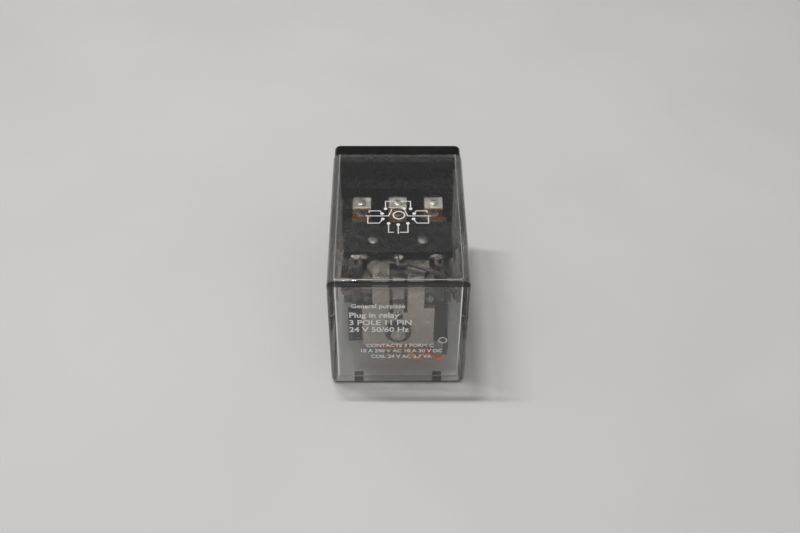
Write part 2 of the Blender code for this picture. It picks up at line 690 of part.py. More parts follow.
def make_residual_parts():
    """The fibre washer on the armature, and the rivet that keeps it off the pole."""
    washer_end = ARMATURE_FRONT - GAP
    washer_start = washer_end - WASHER_THICKNESS
    ring = washer(RESIDUAL_HOLE, WASHER_RADIUS, washer_start, washer_end, (0, RESIDUAL_Z), steps=24)
    head = washer_start - GAP
    rim, tip = (head - depth for depth in RESIDUAL_DOME)
    profile = dome(RESIDUAL_HEAD, rim, tip)[::-1]
    end = ARMATURE_FRONT + PLATE + 0.1
    profile += [(RESIDUAL_HEAD, head), (RESIDUAL_SHANK, head), (RESIDUAL_SHANK, end), (0, end)]
    rivet = lathe(profile, (0, RESIDUAL_Z), steps=24)
    return [
        add_solid("fibre_washer", ring, "fibre_black"),
        add_solid("residual_rivet", rivet, "rivet_steel"),
    ]


def make_return_spring():
    """The coil spring between the frame's tongue and the armature's lug."""
    low = SLOT_BOTTOM + GAP + SPRING_WIRE
    high = FRAME_TOP - PLATE - GAP - SPRING_WIRE
    steps = SPRING_TURNS * 8
    route = []
    for i in range(steps + 1):
        turn = math.tau * SPRING_TURNS * i / steps
        x = SPRING_RADIUS * math.cos(turn)
        y = SPRING_Y + SPRING_RADIUS * math.sin(turn)
        route.append(at(x, y, low + (high - low) * i / steps))
    return tube("return_spring", route, SPRING_WIRE, "spring_steel", bevel_resolution=1)


def make_insulator():
    """The moulded block that carries the three arms, with its two rivets."""
    low = (-INSULATOR_HALF, INSULATOR_FRONT, INSULATOR_BOTTOM)
    block = box(low, (INSULATOR_HALF, INSULATOR_BACK, INSULATOR_TOP))
    insulator = add_solid("insulator", block, "insulator_black")
    cutters = []
    rise = ARM_THICKNESS / 2 + GAP
    half = ARM_TAIL_HALF + GAP
    for x in POLE_X.values():
        low = (x - half, INSULATOR_FRONT - 1, ARM_TAIL_Z - rise)
        cutters.append(box(low, (x + half, INSULATOR_BACK + 1, ARM_TAIL_Z + rise)))
    for side in (-1, 1):
        place = (side * RIVET_X, RIVET_Y)
        cutters.append(cylinder(RIVET_HOLE, INSULATOR_BOTTOM - 1, INSULATOR_TOP + 1, place, "Z", steps=12))
    combine(insulator, merge(cutters), "DIFFERENCE", "slots")
    made = [insulator]
    rim = INSULATOR_TOP + GAP
    profile = [(0, TAIL_UNDER), (SHANK_RADIUS, TAIL_UNDER), (SHANK_RADIUS, rim), (RIVET_HEAD, rim)]
    profile += dome(RIVET_HEAD, *(rim + rise for rise in RIVET_DOME))
    for name, side in (("left", -1), ("right", 1)):
        rivet = lathe(profile, (side * RIVET_X, RIVET_Y), "Z", steps=20)
        made.append(add_solid(f"insulator_rivet_{name}", rivet, "rivet_steel"))
    return made


def contact_rivet(place, top_rim, bottom_rim, head_radii, head_heights):
    """A silver contact rivet: an upper and a lower head joined by a shank."""
    upper, lower = head_radii
    up, down = head_heights
    profile = dome(lower, bottom_rim - down * 0.6, bottom_rim - down)[::-1]
    profile += [(lower, bottom_rim), (SHANK_RADIUS, bottom_rim), (SHANK_RADIUS, top_rim)]
    profile += [(upper, top_rim), *dome(upper, top_rim + up * 0.6, top_rim + up)]
    return lathe(profile, place, "Z", steps=12)


def sheet_with_hole(name, sheet, x, z, material):
    """A metal strip with the hole for its contact rivet."""
    item = add_solid(name, sheet, material)
    hole = cylinder(SHANK_RADIUS + FINE_GAP, z - 1.5, z + 1.5, (x, CONTACT_Y), "Z", steps=12)
    combine(item, hole, "DIFFERENCE", "contact_hole")
    return item


def make_moving_contacts():
    """Three bronze arms through the insulator, each with a contact on both faces."""
    made = []
    path = [(ARM_TAIL_FRONT, ARM_TAIL_Z), (INSULATOR_BACK + 0.5, ARM_TAIL_Z)]
    path += [*ARM_STEP, (ARM_END, ARM_Z)]
    halves = [ARM_TAIL_HALF, ARM_TAIL_HALF, ARM_HALF, ARM_HALF, ARM_HALF]
    under = ARM_Z - ARM_THICKNESS / 2 - FINE_GAP
    over = ARM_Z + ARM_THICKNESS / 2 + FINE_GAP
    for name, x in POLE_X.items():
        arm = strip(path, halves, ARM_THICKNESS, x)
        made.append(sheet_with_hole(f"contact_arm_{name}", arm, x, ARM_Z, "bronze_arm"))
        heads = (CONTACT_RADIUS, CONTACT_RADIUS)
        rivet = contact_rivet((x, CONTACT_Y), over, under, heads, (CONTACT_HEAD, CONTACT_HEAD))
        made.append(add_solid(f"moving_contact_{name}", rivet, "contact_silver"))
    return made


def terminal_path(tab_z, leg_y, tail_z):
    """A tab bent down into a leg, and bent back again into the header."""
    path = [(TAB_FRONT, tab_z), (leg_y - BEND, tab_z), (leg_y, tab_z - BEND)]
    return path + [(leg_y, tail_z + BEND), (leg_y + BEND, tail_z), (TERMINAL_END, tail_z)]


def make_fixed_contacts():
    """The upper, normally open and the lower, normally closed terminals of each pole."""
    made = []
    tail = TERMINAL_TAIL_HALF
    halves = [TAB_HALF, TAB_HALF, TAB_HALF, tail, tail, tail]
    reach = TAB_THICKNESS / 2 + FINE_GAP
    radii, heights = (CONTACT_RADIUS, UPSET_RADIUS), (CONTACT_HEAD, UPSET_HEAD)
    kinds = [
        ("open", UPPER_TAB_Z, UPPER_LEG_Y, UPPER_TAIL_Z, radii[::-1], heights[::-1]),
        ("closed", LOWER_TAB_Z, LOWER_LEG_Y, LOWER_TAIL_Z, radii, heights),
    ]
    for kind, tab_z, leg_y, tail_z, radii, heights in kinds:
        for name, x in POLE_X.items():
            sheet = strip(terminal_path(tab_z, leg_y, tail_z), halves, TAB_THICKNESS, x)
            item = sheet_with_hole(f"{kind}_terminal_{name}", sheet, x, tab_z, "tab_silver")
            rivet = contact_rivet((x, CONTACT_Y), tab_z + reach, tab_z - reach, radii, heights)
            made += [item, add_solid(f"{kind}_contact_{name}", rivet, "contact_silver")]
    return made


def hang_on_hinge(moving):
    """Parents the moving pieces to an empty on the armature's hinge line."""
    hinge = add_object("armature_hinge", None)
    hinge.location = at(0, HINGE_Y, HINGE_Z)
    for item in moving:
        item.parent = hinge
        item.matrix_parent_inverse = Matrix.Translation(-hinge.location)


clear_scene()
materials = make_materials()
make_cover()
make_base()
make_pins()
make_frame()
make_frame_fasteners()
make_core()
make_bobbin()
make_windings()
make_coil_lugs()
make_wires()
make_return_spring()
make_fixed_contacts()
hang_on_hinge([make_armature(), *make_residual_parts(), *make_insulator(), *make_moving_contacts()])
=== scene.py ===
"""The looks of the plug-in relay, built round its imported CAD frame.

The relay lies on one long side: X runs across it, Y from the closed end of the cover to
the plug, and Z is up. Sizes are in millimetres, with places along Y counted from the
closed end; at() turns them into the frame's metres. Each piece rides on the CAD body
that it belongs to, so the armature with its contacts turns on its hinge.
"""

from math import cos, pi, radians, sin, sqrt, tau

import bmesh
import bpy
from mathutils import Matrix, Vector, noise


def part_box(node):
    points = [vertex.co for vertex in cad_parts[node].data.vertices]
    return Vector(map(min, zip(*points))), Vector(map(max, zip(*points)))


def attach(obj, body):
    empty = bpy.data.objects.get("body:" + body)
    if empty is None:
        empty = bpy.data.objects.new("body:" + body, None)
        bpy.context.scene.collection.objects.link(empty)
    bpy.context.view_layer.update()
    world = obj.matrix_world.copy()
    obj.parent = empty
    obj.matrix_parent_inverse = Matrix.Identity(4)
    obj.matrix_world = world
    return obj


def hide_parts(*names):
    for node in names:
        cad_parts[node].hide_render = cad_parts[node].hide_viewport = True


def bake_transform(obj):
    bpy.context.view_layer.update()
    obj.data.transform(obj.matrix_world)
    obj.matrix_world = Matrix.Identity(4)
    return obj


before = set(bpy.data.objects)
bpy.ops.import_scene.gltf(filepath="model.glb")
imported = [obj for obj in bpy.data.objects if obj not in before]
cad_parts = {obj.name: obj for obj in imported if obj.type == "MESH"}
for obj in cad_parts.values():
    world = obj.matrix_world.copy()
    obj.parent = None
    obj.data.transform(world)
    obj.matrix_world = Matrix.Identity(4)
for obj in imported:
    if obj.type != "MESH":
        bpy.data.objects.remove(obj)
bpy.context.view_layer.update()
noise.seed_set(1)

MM = 0.001
HOUSING = "housing"
MOVING = "moving_armature"
CLOSED_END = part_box("cover")[0].y
SMOOTH_ANGLE = radians(35)

# Cover
COVER_HALF = 17.9
COVER_HEIGHT = 38.9
COVER_LENGTH = 50.0
WALL = 1.8
EDGE_RADIUS = 2.0
END_RADIUS = 0.75
# Painted shade: how deep into the closed end, and how far from its top and bottom, the dark strips by its
# edges reach
EDGE_SHADE_BAND = {"depth": 0.3, "top": 2.0, "bottom": 0.75}
CLEAR_TINT = (0.97, 0.972, 0.965)
# Painted shade: the near-black tint that those strips and the vents' walls take in place of the clear tint
EDGE_SHADE_TINT = (0.014, 0.0135, 0.013)
UNDERSIDE_ROUGHNESS = 0.95
INSIDE_RADII = {"side": 0.6, "bottom": 0.3, "top": 0.4}
RIM_RADIUS = 0.2
INK_DEPTH = 0.02
VENT_X = 10.5
VENT_SIZE = (2.4, 1.7)
VENT_START = 1.9

# The share of red, green and blue light that comes through the cover
PASSES = {
    "top": (0.92, 0.92, 0.91),
    "side": (0.28, 0.28, 0.27),
    "end": (0.6, 0.6, 0.59),
    "edge_on": (0.06, 0.06, 0.06),
    "scattered": (0.93, 0.93, 0.92),
}

# Base and plug
GAP = 0.3
FLANGE_START = 50.3
FLANGE_END = 54.1
FLANGE_HALF = 17.6
SPIGOT_START = 48.0
HEADER_START = 44.3
HEADER_HALF = 15.2
HEADER_BOTTOM = 3.5
HEADER_TOP = 30.4
HEADER_BOSS_WIDTH = 4.7
HEADER_BOSS_RISE = 0.7
BOSS_RADIUS = 14.5
BOSS_END = 55.1
DISH_DEPTH = 0.25
POST_RADIUS = 3.9
PLUG_END = 68.4
POST_CHAMFER = 0.8
KEY_WIDTH = 1.7
KEY_RISE = 1.1
AXIS_Z = COVER_HEIGHT / 2
PIN_COUNT = 11
PIN_CIRCLE_RADIUS = 9.525
PIN_RADIUS = 1.18
PIN_START = 46.7
PIN_END = 65.2
SCREW_X = 12.5
SCREW_Z = 7.0

# Coil
COIL_Z = 14.8
WINDING_START = 9.5
WINDING_END = 26.2
WINDING_RADIUS = 11.8
WINDING_INNER = 5.6
WIRE_PITCH = 0.36

# Moving parts and contacts
POLE_X = {"left": -9.8, "center": 0.0, "right": 9.8}
RESIDUAL_Z = 17.0
SPRING_Y = 4.0
SPRING_RADIUS = 1.3
SPRING_WIRE = 0.2
SPRING_TURNS = 7
SPRING_LOW = 24.5
SPRING_HIGH = 28.9
RIVET_X = 6.4
RIVET_Y = 17.8
INSULATOR_TOP = 35.2
ARM_THICKNESS = 0.35
ARM_Z = 27.175
ARM_TAIL_Z = 34.05
CONTACT_Y = 37.0
TAIL_DROPS = {
    "left": (13.0, (2.3, 1.15, 0.45)),
    "center": (12.5, (1.45, 1.4, 0.6)),
    "right": (13.0, (1.75, 1.1, 0.45)),
}
TAB_THICKNESS = 0.8
BRAID_CORE = 0.34
BRAID_PITCH = 4.2
STRANDS = 8
STRAND_RADIUS = 0.08
LEAD_RADIUS = 0.65
WIRE_END = 43.3

materials = {}


# ---- shapes


def at(x, y, z):
    """The point in the frame for millimetres, with y counted from the closed end."""
    return Vector((x * MM, CLOSED_END + y * MM, z * MM))


def bridge(shape, first, second):
    """Walls between two rings, either of which may be a single point."""
    count = max(len(first), len(second))
    for i in range(count):
        j = (i + 1) % count
        corners = [first[i % len(first)], first[j % len(first)]]
        corners += [second[j % len(second)], second[i % len(second)]]
        face = [corner for n, corner in enumerate(corners) if corner not in corners[:n]]
        shape.faces.new(face)


def loft(sections):
    """A closed solid through rings of points given in millimetres."""
    shape = bmesh.new()
    rings = [[shape.verts.new(at(*point)) for point in section] for section in sections]
    for first, second in zip(rings, rings[1:]):
        bridge(shape, first, second)
    for ring in (rings[0], rings[-1]):
        if len(ring) > 2:
            shape.faces.new(ring)
    return shape


def prism(outline, start, end):
    """An outline of (x, z) points extruded along Y."""
    return loft([[(x, y, z) for x, z in outline] for y in (start, end)])


def box(low, high):
    """A block between two opposite corners."""
    (x0, y0, z0), (x1, y1, z1) = low, high
    return prism([(x0, z0), (x1, z0), (x1, z1), (x0, z1)], y0, y1)


def band(inner, outer, low, high):
    """The profile of a flat ring."""
    return [(inner, low), (outer, low), (outer, high), (inner, high)]


def quarter(steps):
    """Evenly spaced angles from nought to a right angle."""
    return [radians(90 * i / steps) for i in range(steps + 1)]


def ease(value, start, end):
    """Nought before start and one after end, with a smooth step between."""
    share = min(max((value - start) / (end - start), 0), 1)
    return share * share * (3 - 2 * share)


def arc(centre, radius, start, end, steps):
    """Points on a circle between two angles in degrees, both ends included."""
    turns = [radians(start + (end - start) * i / steps) for i in range(steps + 1)]
    return [(centre[0] + radius * cos(t), centre[1] + radius * sin(t)) for t in turns]


def rounded_rectangle(half, bottom, top, radius, inset=0.0, steps=10):
    """A rectangle centred on X with round corners, optionally drawn in all round."""
    radius = max(radius - inset, 0.2)
    right, low, high = half - inset - radius, bottom + inset + radius, top - inset - radius
    corners = [((right, high), 0), ((-right, high), 90), ((-right, low), 180), ((right, low), 270)]
    return [p for centre, start in corners for p in arc(centre, radius, start, start + 90, steps)]


def lathe(profile, centre, axis="Y", steps=48, closed=False):
    """A turned solid. The profile's pairs are radius and place along the axis."""
    shape = bmesh.new()
    rings = []
    for radius, along in profile:
        ring = []
        for i in range(steps if radius else 1):
            turn = tau * i / steps
            u, v = centre[0] + radius * cos(turn), centre[1] + radius * sin(turn)
            ring.append(shape.verts.new(at(u, along, v) if axis == "Y" else at(u, v, along)))
        rings.append(ring)
    following = rings[1:] + rings[:1] if closed else rings[1:]
    for first, second in zip(rings, following):
        bridge(shape, first, second)
    return shape


def dome(radius, rim, tip, steps=8):
    """The profile of a domed head, from its rim to the point on its axis."""
    rounds = quarter(steps)[:-1]
    points = [(radius * cos(t), rim + (tip - rim) * sin(t)) for t in rounds]
    return points + [(0, tip)]


def merge(shapes):
    """One bmesh that holds several shapes."""
    whole = bmesh.new()
    for shape in shapes:
        mesh = bpy.data.meshes.new("piece")
        bmesh.ops.recalc_face_normals(shape, faces=shape.faces)
        shape.to_mesh(mesh)
        shape.free()
        whole.from_mesh(mesh)
        bpy.data.meshes.remove(mesh)
    return whole


def fillet(path, radius, steps=5):
    """A path of (y, z) points with each inner corner rounded."""
    made = [path[0]]
    for before, corner, after in zip(path, path[1:], path[2:]):
        b, c, a = Vector(before), Vector(corner), Vector(after)
        into, out = (b - c).normalized(), (a - c).normalized()
        reach = min(radius, (b - c).length / 2, (a - c).length / 2)
        start, end = c + into * reach, c + out * reach
        for i in range(steps + 1):
            t = i / steps
            made.append(tuple(start * (1 - t) ** 2 + c * 2 * t * (1 - t) + end * t**2))
    return made + [path[-1]]


def strip(path, width, thickness, x):
    """Sheet metal bent along a path of (y, z) points. width gives the half width at (y, z)."""
    sections = []
    for i, (y, z) in enumerate(path):
        before, here = Vector(path[max(i - 1, 0)]), Vector(path[i])
        after = Vector(path[min(i + 1, len(path) - 1)])
        along = (after - before).normalized()
        side = Vector((-along.y, along.x)) * thickness / 2
        w = width(y, z)
        low, high = here - side, here + side
        sections.append([(x - w, *low), (x + w, *low), (x + w, *high), (x - w, *high)])
    return loft(sections)


def smooth_route(points, spacing):
    """Evenly spaced points on a smooth curve through a route's own points."""
    points = [Vector(point) for point in points]
    ends = [points[0] * 2 - points[1], points[-1] * 2 - points[-2]]
    posts = [ends[0], *points, ends[1]]
    route = [points[0]]
    for a, b, c, d in zip(posts, posts[1:], posts[2:], posts[3:]):
        steps = max(2, round((c - b).length / spacing))
        for i in range(1, steps + 1):
            t = i / steps
            tangent = (c - a) * t + (2 * a - 5 * b + 4 * c - d) * t**2
            route.append(b + (tangent + (3 * b - a - 3 * c + d) * t**3) / 2)
    return route


def frames_along(route):
    """A side and an up direction at each point of a route, without twist."""
    made = []
    side = None
    for i in range(len(route)):
        forward = (route[min(i + 1, len(route) - 1)] - route[max(i - 1, 0)]).normalized()
        if side is None:
            side = forward.orthogonal()
        side = (side - forward * side.dot(forward)).normalized()
        made.append((side, forward.cross(side)))
    return made


def tube(route, radius, sides=12):
    """A round bar along a route in millimetres."""
    turns = [tau * i / sides for i in range(sides)]
    rings = []
    for here, (side, up) in zip(route, frames_along(route)):
        rings.append([here + (side * cos(t) + up * sin(t)) * radius for t in turns])
    return loft(rings)


def helix(route, radius, turns, phase, sway, weaves):
    """A line wound round a route, swaying in and out as it crosses others."""
    made = []
    for i, (here, (side, up)) in enumerate(zip(route, frames_along(route))):
        turn = phase + tau * turns * i / (len(route) - 1)
        reach = radius + sway * sin(weaves * (turn - phase))
        made.append(here + (side * cos(turn) + up * sin(turn)) * reach)
    return made


def lump(centre, radii, roughness, seed, level=4):
    """A rounded lump, such as a drop of solder, with gentle unevenness."""
    shape = bmesh.new()
    bmesh.ops.create_icosphere(shape, subdivisions=level, radius=1)
    for vert in shape.verts:
        bulge = 1 + roughness * noise.noise(vert.co * 1.7 + Vector((seed, seed, 0)))
        vert.co = at(*(c + r * v * bulge for c, r, v in zip(centre, radii, vert.co)))
    return shape


# ---- pieces


def put_in_scene(name, data):
    """A new object that holds a mesh, a text, a lamp or a camera."""
    item = bpy.data.objects.new(name, data)
    bpy.context.scene.collection.objects.link(item)
    return item


def make_object(name, shape, material):
    """A new object with a bmesh's shape and one material."""
    bmesh.ops.recalc_face_normals(shape, faces=shape.faces)
    mesh = bpy.data.meshes.new(name)
    shape.to_mesh(mesh)
    shape.free()
    mesh.materials.append(materials[material])
    return put_in_scene(name, mesh)


def evaluated_mesh(item):
    """A new mesh with the item's modifiers applied, or of its text."""
    bpy.context.view_layer.update()
    graph = bpy.context.evaluated_depsgraph_get()
    return bpy.data.meshes.new_from_object(item.evaluated_get(graph))


def apply_modifiers(item):
    mesh = evaluated_mesh(item)
    item.modifiers.clear()
    item.data = mesh


def combine(item, shape, operation="UNION"):
    """Adds or cuts away one shape with a Boolean."""
    helper = make_object("helper", shape, "black_phenolic")
    boolean = item.modifiers.new("boolean", "BOOLEAN")
    boolean.operation = operation
    boolean.object = helper
    apply_modifiers(item)
    bpy.data.objects.remove(helper)


def flatten(item):
    """Joins the triangles of each flat face into one face."""
    shape = bmesh.new()
    shape.from_mesh(item.data)
    bmesh.ops.remove_doubles(shape, verts=shape.verts, dist=0.002 * MM)
    nearly_flat = radians(1)
    bmesh.ops.dissolve_limit(shape, angle_limit=nearly_flat, verts=shape.verts, edges=shape.edges)
    shape.to_mesh(item.data)
    shape.free()


def soften(item, width):
    """Rounds every hard edge."""
    bevel = item.modifiers.new("bevel", "BEVEL")
    bevel.width = width * MM
    bevel.segments = 3
    bevel.limit_method = "ANGLE"
    bevel.angle_limit = SMOOTH_ANGLE
    apply_modifiers(item)


def shade(item):
    """Smooth shading that keeps flat faces flat."""
    item.data.shade_smooth()
    item.data.set_sharp_from_angle(angle=radians(50))
    weighted = item.modifiers.new("weighted", "WEIGHTED_NORMAL")
    weighted.weight = 100
    weighted.keep_sharp = True
    apply_modifiers(item)


def add_piece(name, shape, slot, body=HOUSING, nodes=(), rounding=0.0, material=None):
    """A finished piece that rides on a body and stands for the CAD nodes named."""
    item = make_object(name, shape, material or slot)
    return finish_piece(item, body, nodes, rounding)


def finish_piece(item, body=HOUSING, nodes=(), rounding=0.0):
    """Rounds and shades a piece, and tells the frame what it rides on and replaces."""
    if rounding:
        soften(item, rounding)
    shade(item)
    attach(item, body)
    if nodes:
        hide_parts(*nodes)
    return item


def refine(node, name, slot, rounding, body=HOUSING, material=None):
    """A piece with a CAD node's own shape and softly rounded edges."""
    item = put_in_scene(name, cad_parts[node].data.copy())
    item.data.materials.clear()
    item.data.materials.append(materials[material or slot])
    flatten(item)
    return finish_piece(item, body, [node], rounding)


# ---- materials


class Look:
    """One material's nodes, with short calls for the ones used most."""

    def __init__(self, name):
        self.name = name
        self.material = bpy.data.materials.new(name)
        self.material.use_nodes = True
        self.nodes = self.material.node_tree.nodes
        self.links = self.material.node_tree.links
        self.nodes.clear()
        self.output = self.nodes.new("ShaderNodeOutputMaterial")

    def feed(self, socket, value):
        """Gives a socket its value, or links it to the socket that has one."""
        if isinstance(value, bpy.types.NodeSocket):
            self.links.new(value, socket)
        else:
            socket.default_value = value

    def node(self, kind, inputs=None, **settings):
        made = self.nodes.new("ShaderNode" + kind)
        for name, value in settings.items():
            setattr(made, name, value)
        for name, value in (inputs or {}).items():
            self.feed(made.inputs[name], value)
        return made

    def place(self, stretch=(1, 1, 1), turn=(0, 0, 0)):
        """The piece's own coordinates, optionally turned and stretched."""
        coordinates = self.node("TexCoord").outputs["Object"]
        if stretch == (1, 1, 1) and turn == (0, 0, 0):
            return coordinates
        inputs = {"Vector": coordinates, "Scale": stretch, "Rotation": turn}
        return self.node("Mapping", inputs).outputs["Vector"]

    def noise(self, size, detail=3.0, stretch=(1, 1, 1), turn=(0, 0, 0), distortion=0.0):
        """Cloudy noise whose patches are about size millimetres across."""
        inputs = {"Vector": self.place(stretch, turn), "Scale": 1 / (size * MM)}
        inputs.update({"Detail": detail, "Distortion": distortion})
        return self.node("TexNoise", inputs).outputs["Fac"]

    def cells(self, size):
        """The distance to the nearest of points that lie about size millimetres apart."""
        inputs = {"Vector": self.place(), "Scale": 1 / (size * MM)}
        return self.node("TexVoronoi", inputs).outputs["Distance"]

    def spread(self, value, low, high, start=0.0, end=1.0):
        """Maps a value between low and high onto start to end."""
        inputs = {"Value": value, "From Min": low, "From Max": high}
        inputs.update({"To Min": start, "To Max": end})
        return self.node("MapRange", inputs, interpolation_type="SMOOTHSTEP").outputs["Result"]

    def patches(self, size, detail, start=0.0, end=1.0):
        """A value that drifts from start to end and back over patches of a size."""
        return self.spread(self.noise(size, detail), 0.3, 0.7, start, end)

    def math(self, operation, first, second=0.5):
        made = self.node("Math", operation=operation)
        self.feed(made.inputs[0], first)
        self.feed(made.inputs[1], second)
        return made.outputs[0]

    def times(self, first, second):
        return self.math("MULTIPLY", first, second)

    def over(self, value, limit):
        """One where the value is over the limit, and nought elsewhere."""
        return self.math("GREATER_THAN", value, limit)

    def under(self, value, limit):
        """One where the value is under the limit, and nought elsewhere."""
        return self.math("LESS_THAN", value, limit)

    def away(self, value, centre):
        """How far the value is from a centre, either way."""
        return self.math("ABSOLUTE", self.math("SUBTRACT", value, centre))

    def blend(self, factor, first, second):
        """A mix of two colours, each three numbers or a socket."""
        made = self.node("Mix", data_type="RGBA")
        self.feed(made.inputs[0], factor)
        for socket, colour in ((made.inputs[6], first), (made.inputs[7], second)):
            self.feed(socket, (*colour, 1) if isinstance(colour, tuple) else colour)
        return made.outputs[2]

    def edges(self, radius):
        """One near the piece's edges and corners, and nought on its faces."""
        rounded = self.node("Bevel", {"Radius": radius * MM}, samples=4).outputs["Normal"]
        plain = self.node("NewGeometry").outputs["Normal"]
        dot = self.node("VectorMath", {0: rounded, 1: plain}, operation="DOT_PRODUCT")
        bend = self.math("SUBTRACT", 1.0, dot.outputs["Value"])
        return self.spread(bend, 0.01, 0.12)

    def bump(self, height, depth, normal=None):
        inputs = {"Height": height, "Distance": depth * MM, "Strength": 1.0}
        if normal is not None:
            inputs["Normal"] = normal
        return self.node("Bump", inputs).outputs["Normal"]

    def end(self, shader):
        self.feed(self.output.inputs["Surface"], shader.outputs[0])
        materials[self.name] = self.material

    def finish(self, base, rough, normal, more=()):
        """Ends the material as one plain surface. more names further sockets and their values."""
        inputs = {"Base Color": base, "Roughness": rough, "Normal": normal, **dict(more)}
        self.end(self.node("BsdfPrincipled", inputs))


def scaled(colour, share, lift=0.0, limit=1.0):
    """A colour made lighter or darker."""
    return tuple(min(part * share + lift, limit) for part in colour)


def moulded(name, colour, pale, roughness, grain, shine=0.3):
    """Moulded plastic: faint mottle, fine grain, and edges rubbed paler."""
    look = Look(name)
    specks = look.spread(look.noise(0.25, 2.0), 0.62, 0.75)
    base = look.blend(look.spread(look.noise(5.0, 4.0), 0.35, 0.7), colour, pale)
    base = look.blend(look.times(specks, 0.25), base, scaled(pale, 2.2))
    rub = look.times(look.edges(0.25), look.spread(look.noise(1.2), 0.35, 0.65, 0.1, 0.3))
    base = look.blend(rub, base, scaled(pale, 5, 0.03))
    rough = look.patches(2.2, 5.0, roughness - 0.09, roughness + 0.1)
    ripple = look.bump(look.noise(3.5, 2.0), 0.012)
    normal = look.bump(look.noise(grain, 3.0), 0.006, ripple)
    look.finish(base, rough, normal, {"Specular IOR Level": shine})


def plated(name, colour, dark, roughness, grain_way=(1, 1, 1), tarnish=0.5, worn=0.6, fine=0.12, darker_along_y=None):
    """Plated or rolled metal: fine grain one way, cloudy tarnish, and bright rubbed edges.

    The last argument darkens it along Y: from where, to where, and how strongly. The armature uses it for
    painted shade.
    """
    look = Look(name)
    clouds = look.spread(look.noise(3.0, 6.0, distortion=0.6), 0.4, 0.72)
    specks = look.spread(look.cells(0.7), 0.06, 0.0)
    grain = look.noise(fine, 2.0, stretch=grain_way)
    base = look.blend(look.times(clouds, tarnish), colour, dark)
    base = look.blend(look.times(specks, 0.35), base, scaled(dark, 0.4))
    base = look.blend(look.spread(grain, 0.3, 0.8, 0.0, 0.3), base, dark)
    base = look.blend(look.times(look.edges(0.18), worn), base, scaled(colour, 1.35, limit=0.95))
    # Darkening along Y; on the armature it is painted shade
    if darker_along_y:
        along = look.node("SeparateXYZ", {"Vector": look.place()}).outputs["Y"]
        start, end, strength = darker_along_y
        reach = look.spread(along, at(0, start, 0).y, at(0, end, 0).y, 0.0, strength)
        base = look.blend(reach, base, scaled(dark, 0.3))
    rough = look.patches(1.6, 5.0, roughness - 0.08, roughness + 0.12)
    normal = look.bump(grain, 0.0025, look.bump(look.noise(0.8, 3.0), 0.004))
    look.finish(base, rough, normal, {"Metallic": 1.0})


def drawn_wire(name, colour, dark, roughness, size):
    """Thin bright wire with die marks along it and dull patches."""
    look = Look(name)
    base = look.blend(look.spread(look.noise(size * 6, 4.0), 0.4, 0.7), colour, dark)
    rough = look.patches(size * 2, 3.0, roughness - 0.07, roughness + 0.12)
    look.finish(base, rough, look.bump(look.noise(size, 3.0), 0.004), {"Metallic": 1.0})


def enamelled_wire():
    """Copper wire under red-brown enamel, darker here and there."""
    look = Look("winding_red")
    tone = look.spread(look.noise(1.4, 5.0), 0.35, 0.7)
    base = look.blend(tone, (0.52, 0.115, 0.04), (0.26, 0.045, 0.02))
    rough = look.patches(0.8, 3.0, 0.22, 0.42)
    enamel = {"Metallic": 0.45, "Coat Weight": 0.6, "Coat Roughness": 0.2}
    look.finish(base, rough, look.bump(look.noise(0.3, 2.0), 0.01), enamel)


def cloth_tape():
    """Black coil tape with a fine weave and a faint wax shine."""
    look = Look("tape_black")
    threads = {"Vector": look.place(), "Scale": 900.0, "Distortion": 0.4}
    along = look.node("TexWave", threads, bands_direction="Y").outputs["Fac"]
    weave = look.times(along, look.noise(0.25, 1.0, stretch=(1, 0.1, 1)))
    base = look.blend(look.spread(weave, 0.1, 0.5), (0.012, 0.012, 0.013), (0.045, 0.043, 0.04))
    rough = look.patches(2.5, 4.0, 0.42, 0.68)
    look.finish(base, rough, look.bump(weave, 0.03, look.bump(look.noise(3.0, 2.0), 0.08)))


def pressed_fibre():
    """Vulcanised fibre: matted strands in dark grey."""
    look = Look("fibre_black")
    strands = look.noise(0.35, 6.0, stretch=(0.3, 1, 1), distortion=1.2)
    base = look.blend(look.spread(strands, 0.35, 0.7), (0.012, 0.011, 0.01), (0.05, 0.045, 0.04))
    look.finish(base, look.spread(strands, 0.3, 0.7, 0.5, 0.75), look.bump(strands, 0.02))


def wire_sleeve(name, colour, dark):
    """Soft extruded insulation with flow lines and handling marks."""
    look = Look(name)
    lines = look.noise(0.5, 3.0, stretch=(1, 0.08, 1))
    dirt = look.spread(look.noise(1.8, 5.0), 0.55, 0.75)
    base = look.blend(look.spread(lines, 0.3, 0.7), colour, dark)
    base = look.blend(look.times(dirt, 0.4), base, scaled(dark, 0.4))
    rough = look.patches(1.0, 3.0, 0.32, 0.5)
    soft = {"Subsurface Weight": 0.12, "Subsurface Scale": 0.4 * MM}
    look.finish(base, rough, look.bump(lines, 0.015), soft)


def solder_look():
    """Solder: bright skin with frosty crystals and brown flux in the hollows."""
    look = Look("solder")
    frost = look.cells(0.35)
    flux = look.spread(look.noise(0.9, 4.0), 0.56, 0.72)
    base = look.blend(look.spread(frost, 0.1, 0.6), (0.19, 0.186, 0.178), (0.1, 0.097, 0.093))
    base = look.blend(look.times(flux, 0.55), base, (0.2, 0.12, 0.06))
    rough = look.spread(frost, 0.0, 0.5, 0.26, 0.48)
    look.finish(base, rough, look.bump(look.noise(0.45, 3.0), 0.05), {"Metallic": 1.0})


def printed_ink():
    """White screen ink, a little thin in places."""
    look = Look("white_ink")
    thin = look.spread(look.noise(0.5, 4.0), 0.5, 0.75)
    base = look.blend(thin, (0.9, 0.9, 0.88), (0.66, 0.66, 0.65))
    look.finish(base, look.patches(0.8, 2.0, 0.45, 0.65), look.bump(look.noise(0.15, 2.0), 0.004))


def table_top():
    """A pale matt laminate table."""
    look = Look("table_top")
    base = look.blend(look.patches(60.0, 4.0), (0.745, 0.738, 0.725), (0.715, 0.71, 0.70))
    rough = look.patches(25.0, 4.0, 0.5, 0.62)
    look.finish(base, rough, look.bump(look.noise(0.6, 2.0), 0.004), {"Specular IOR Level": 0.3})


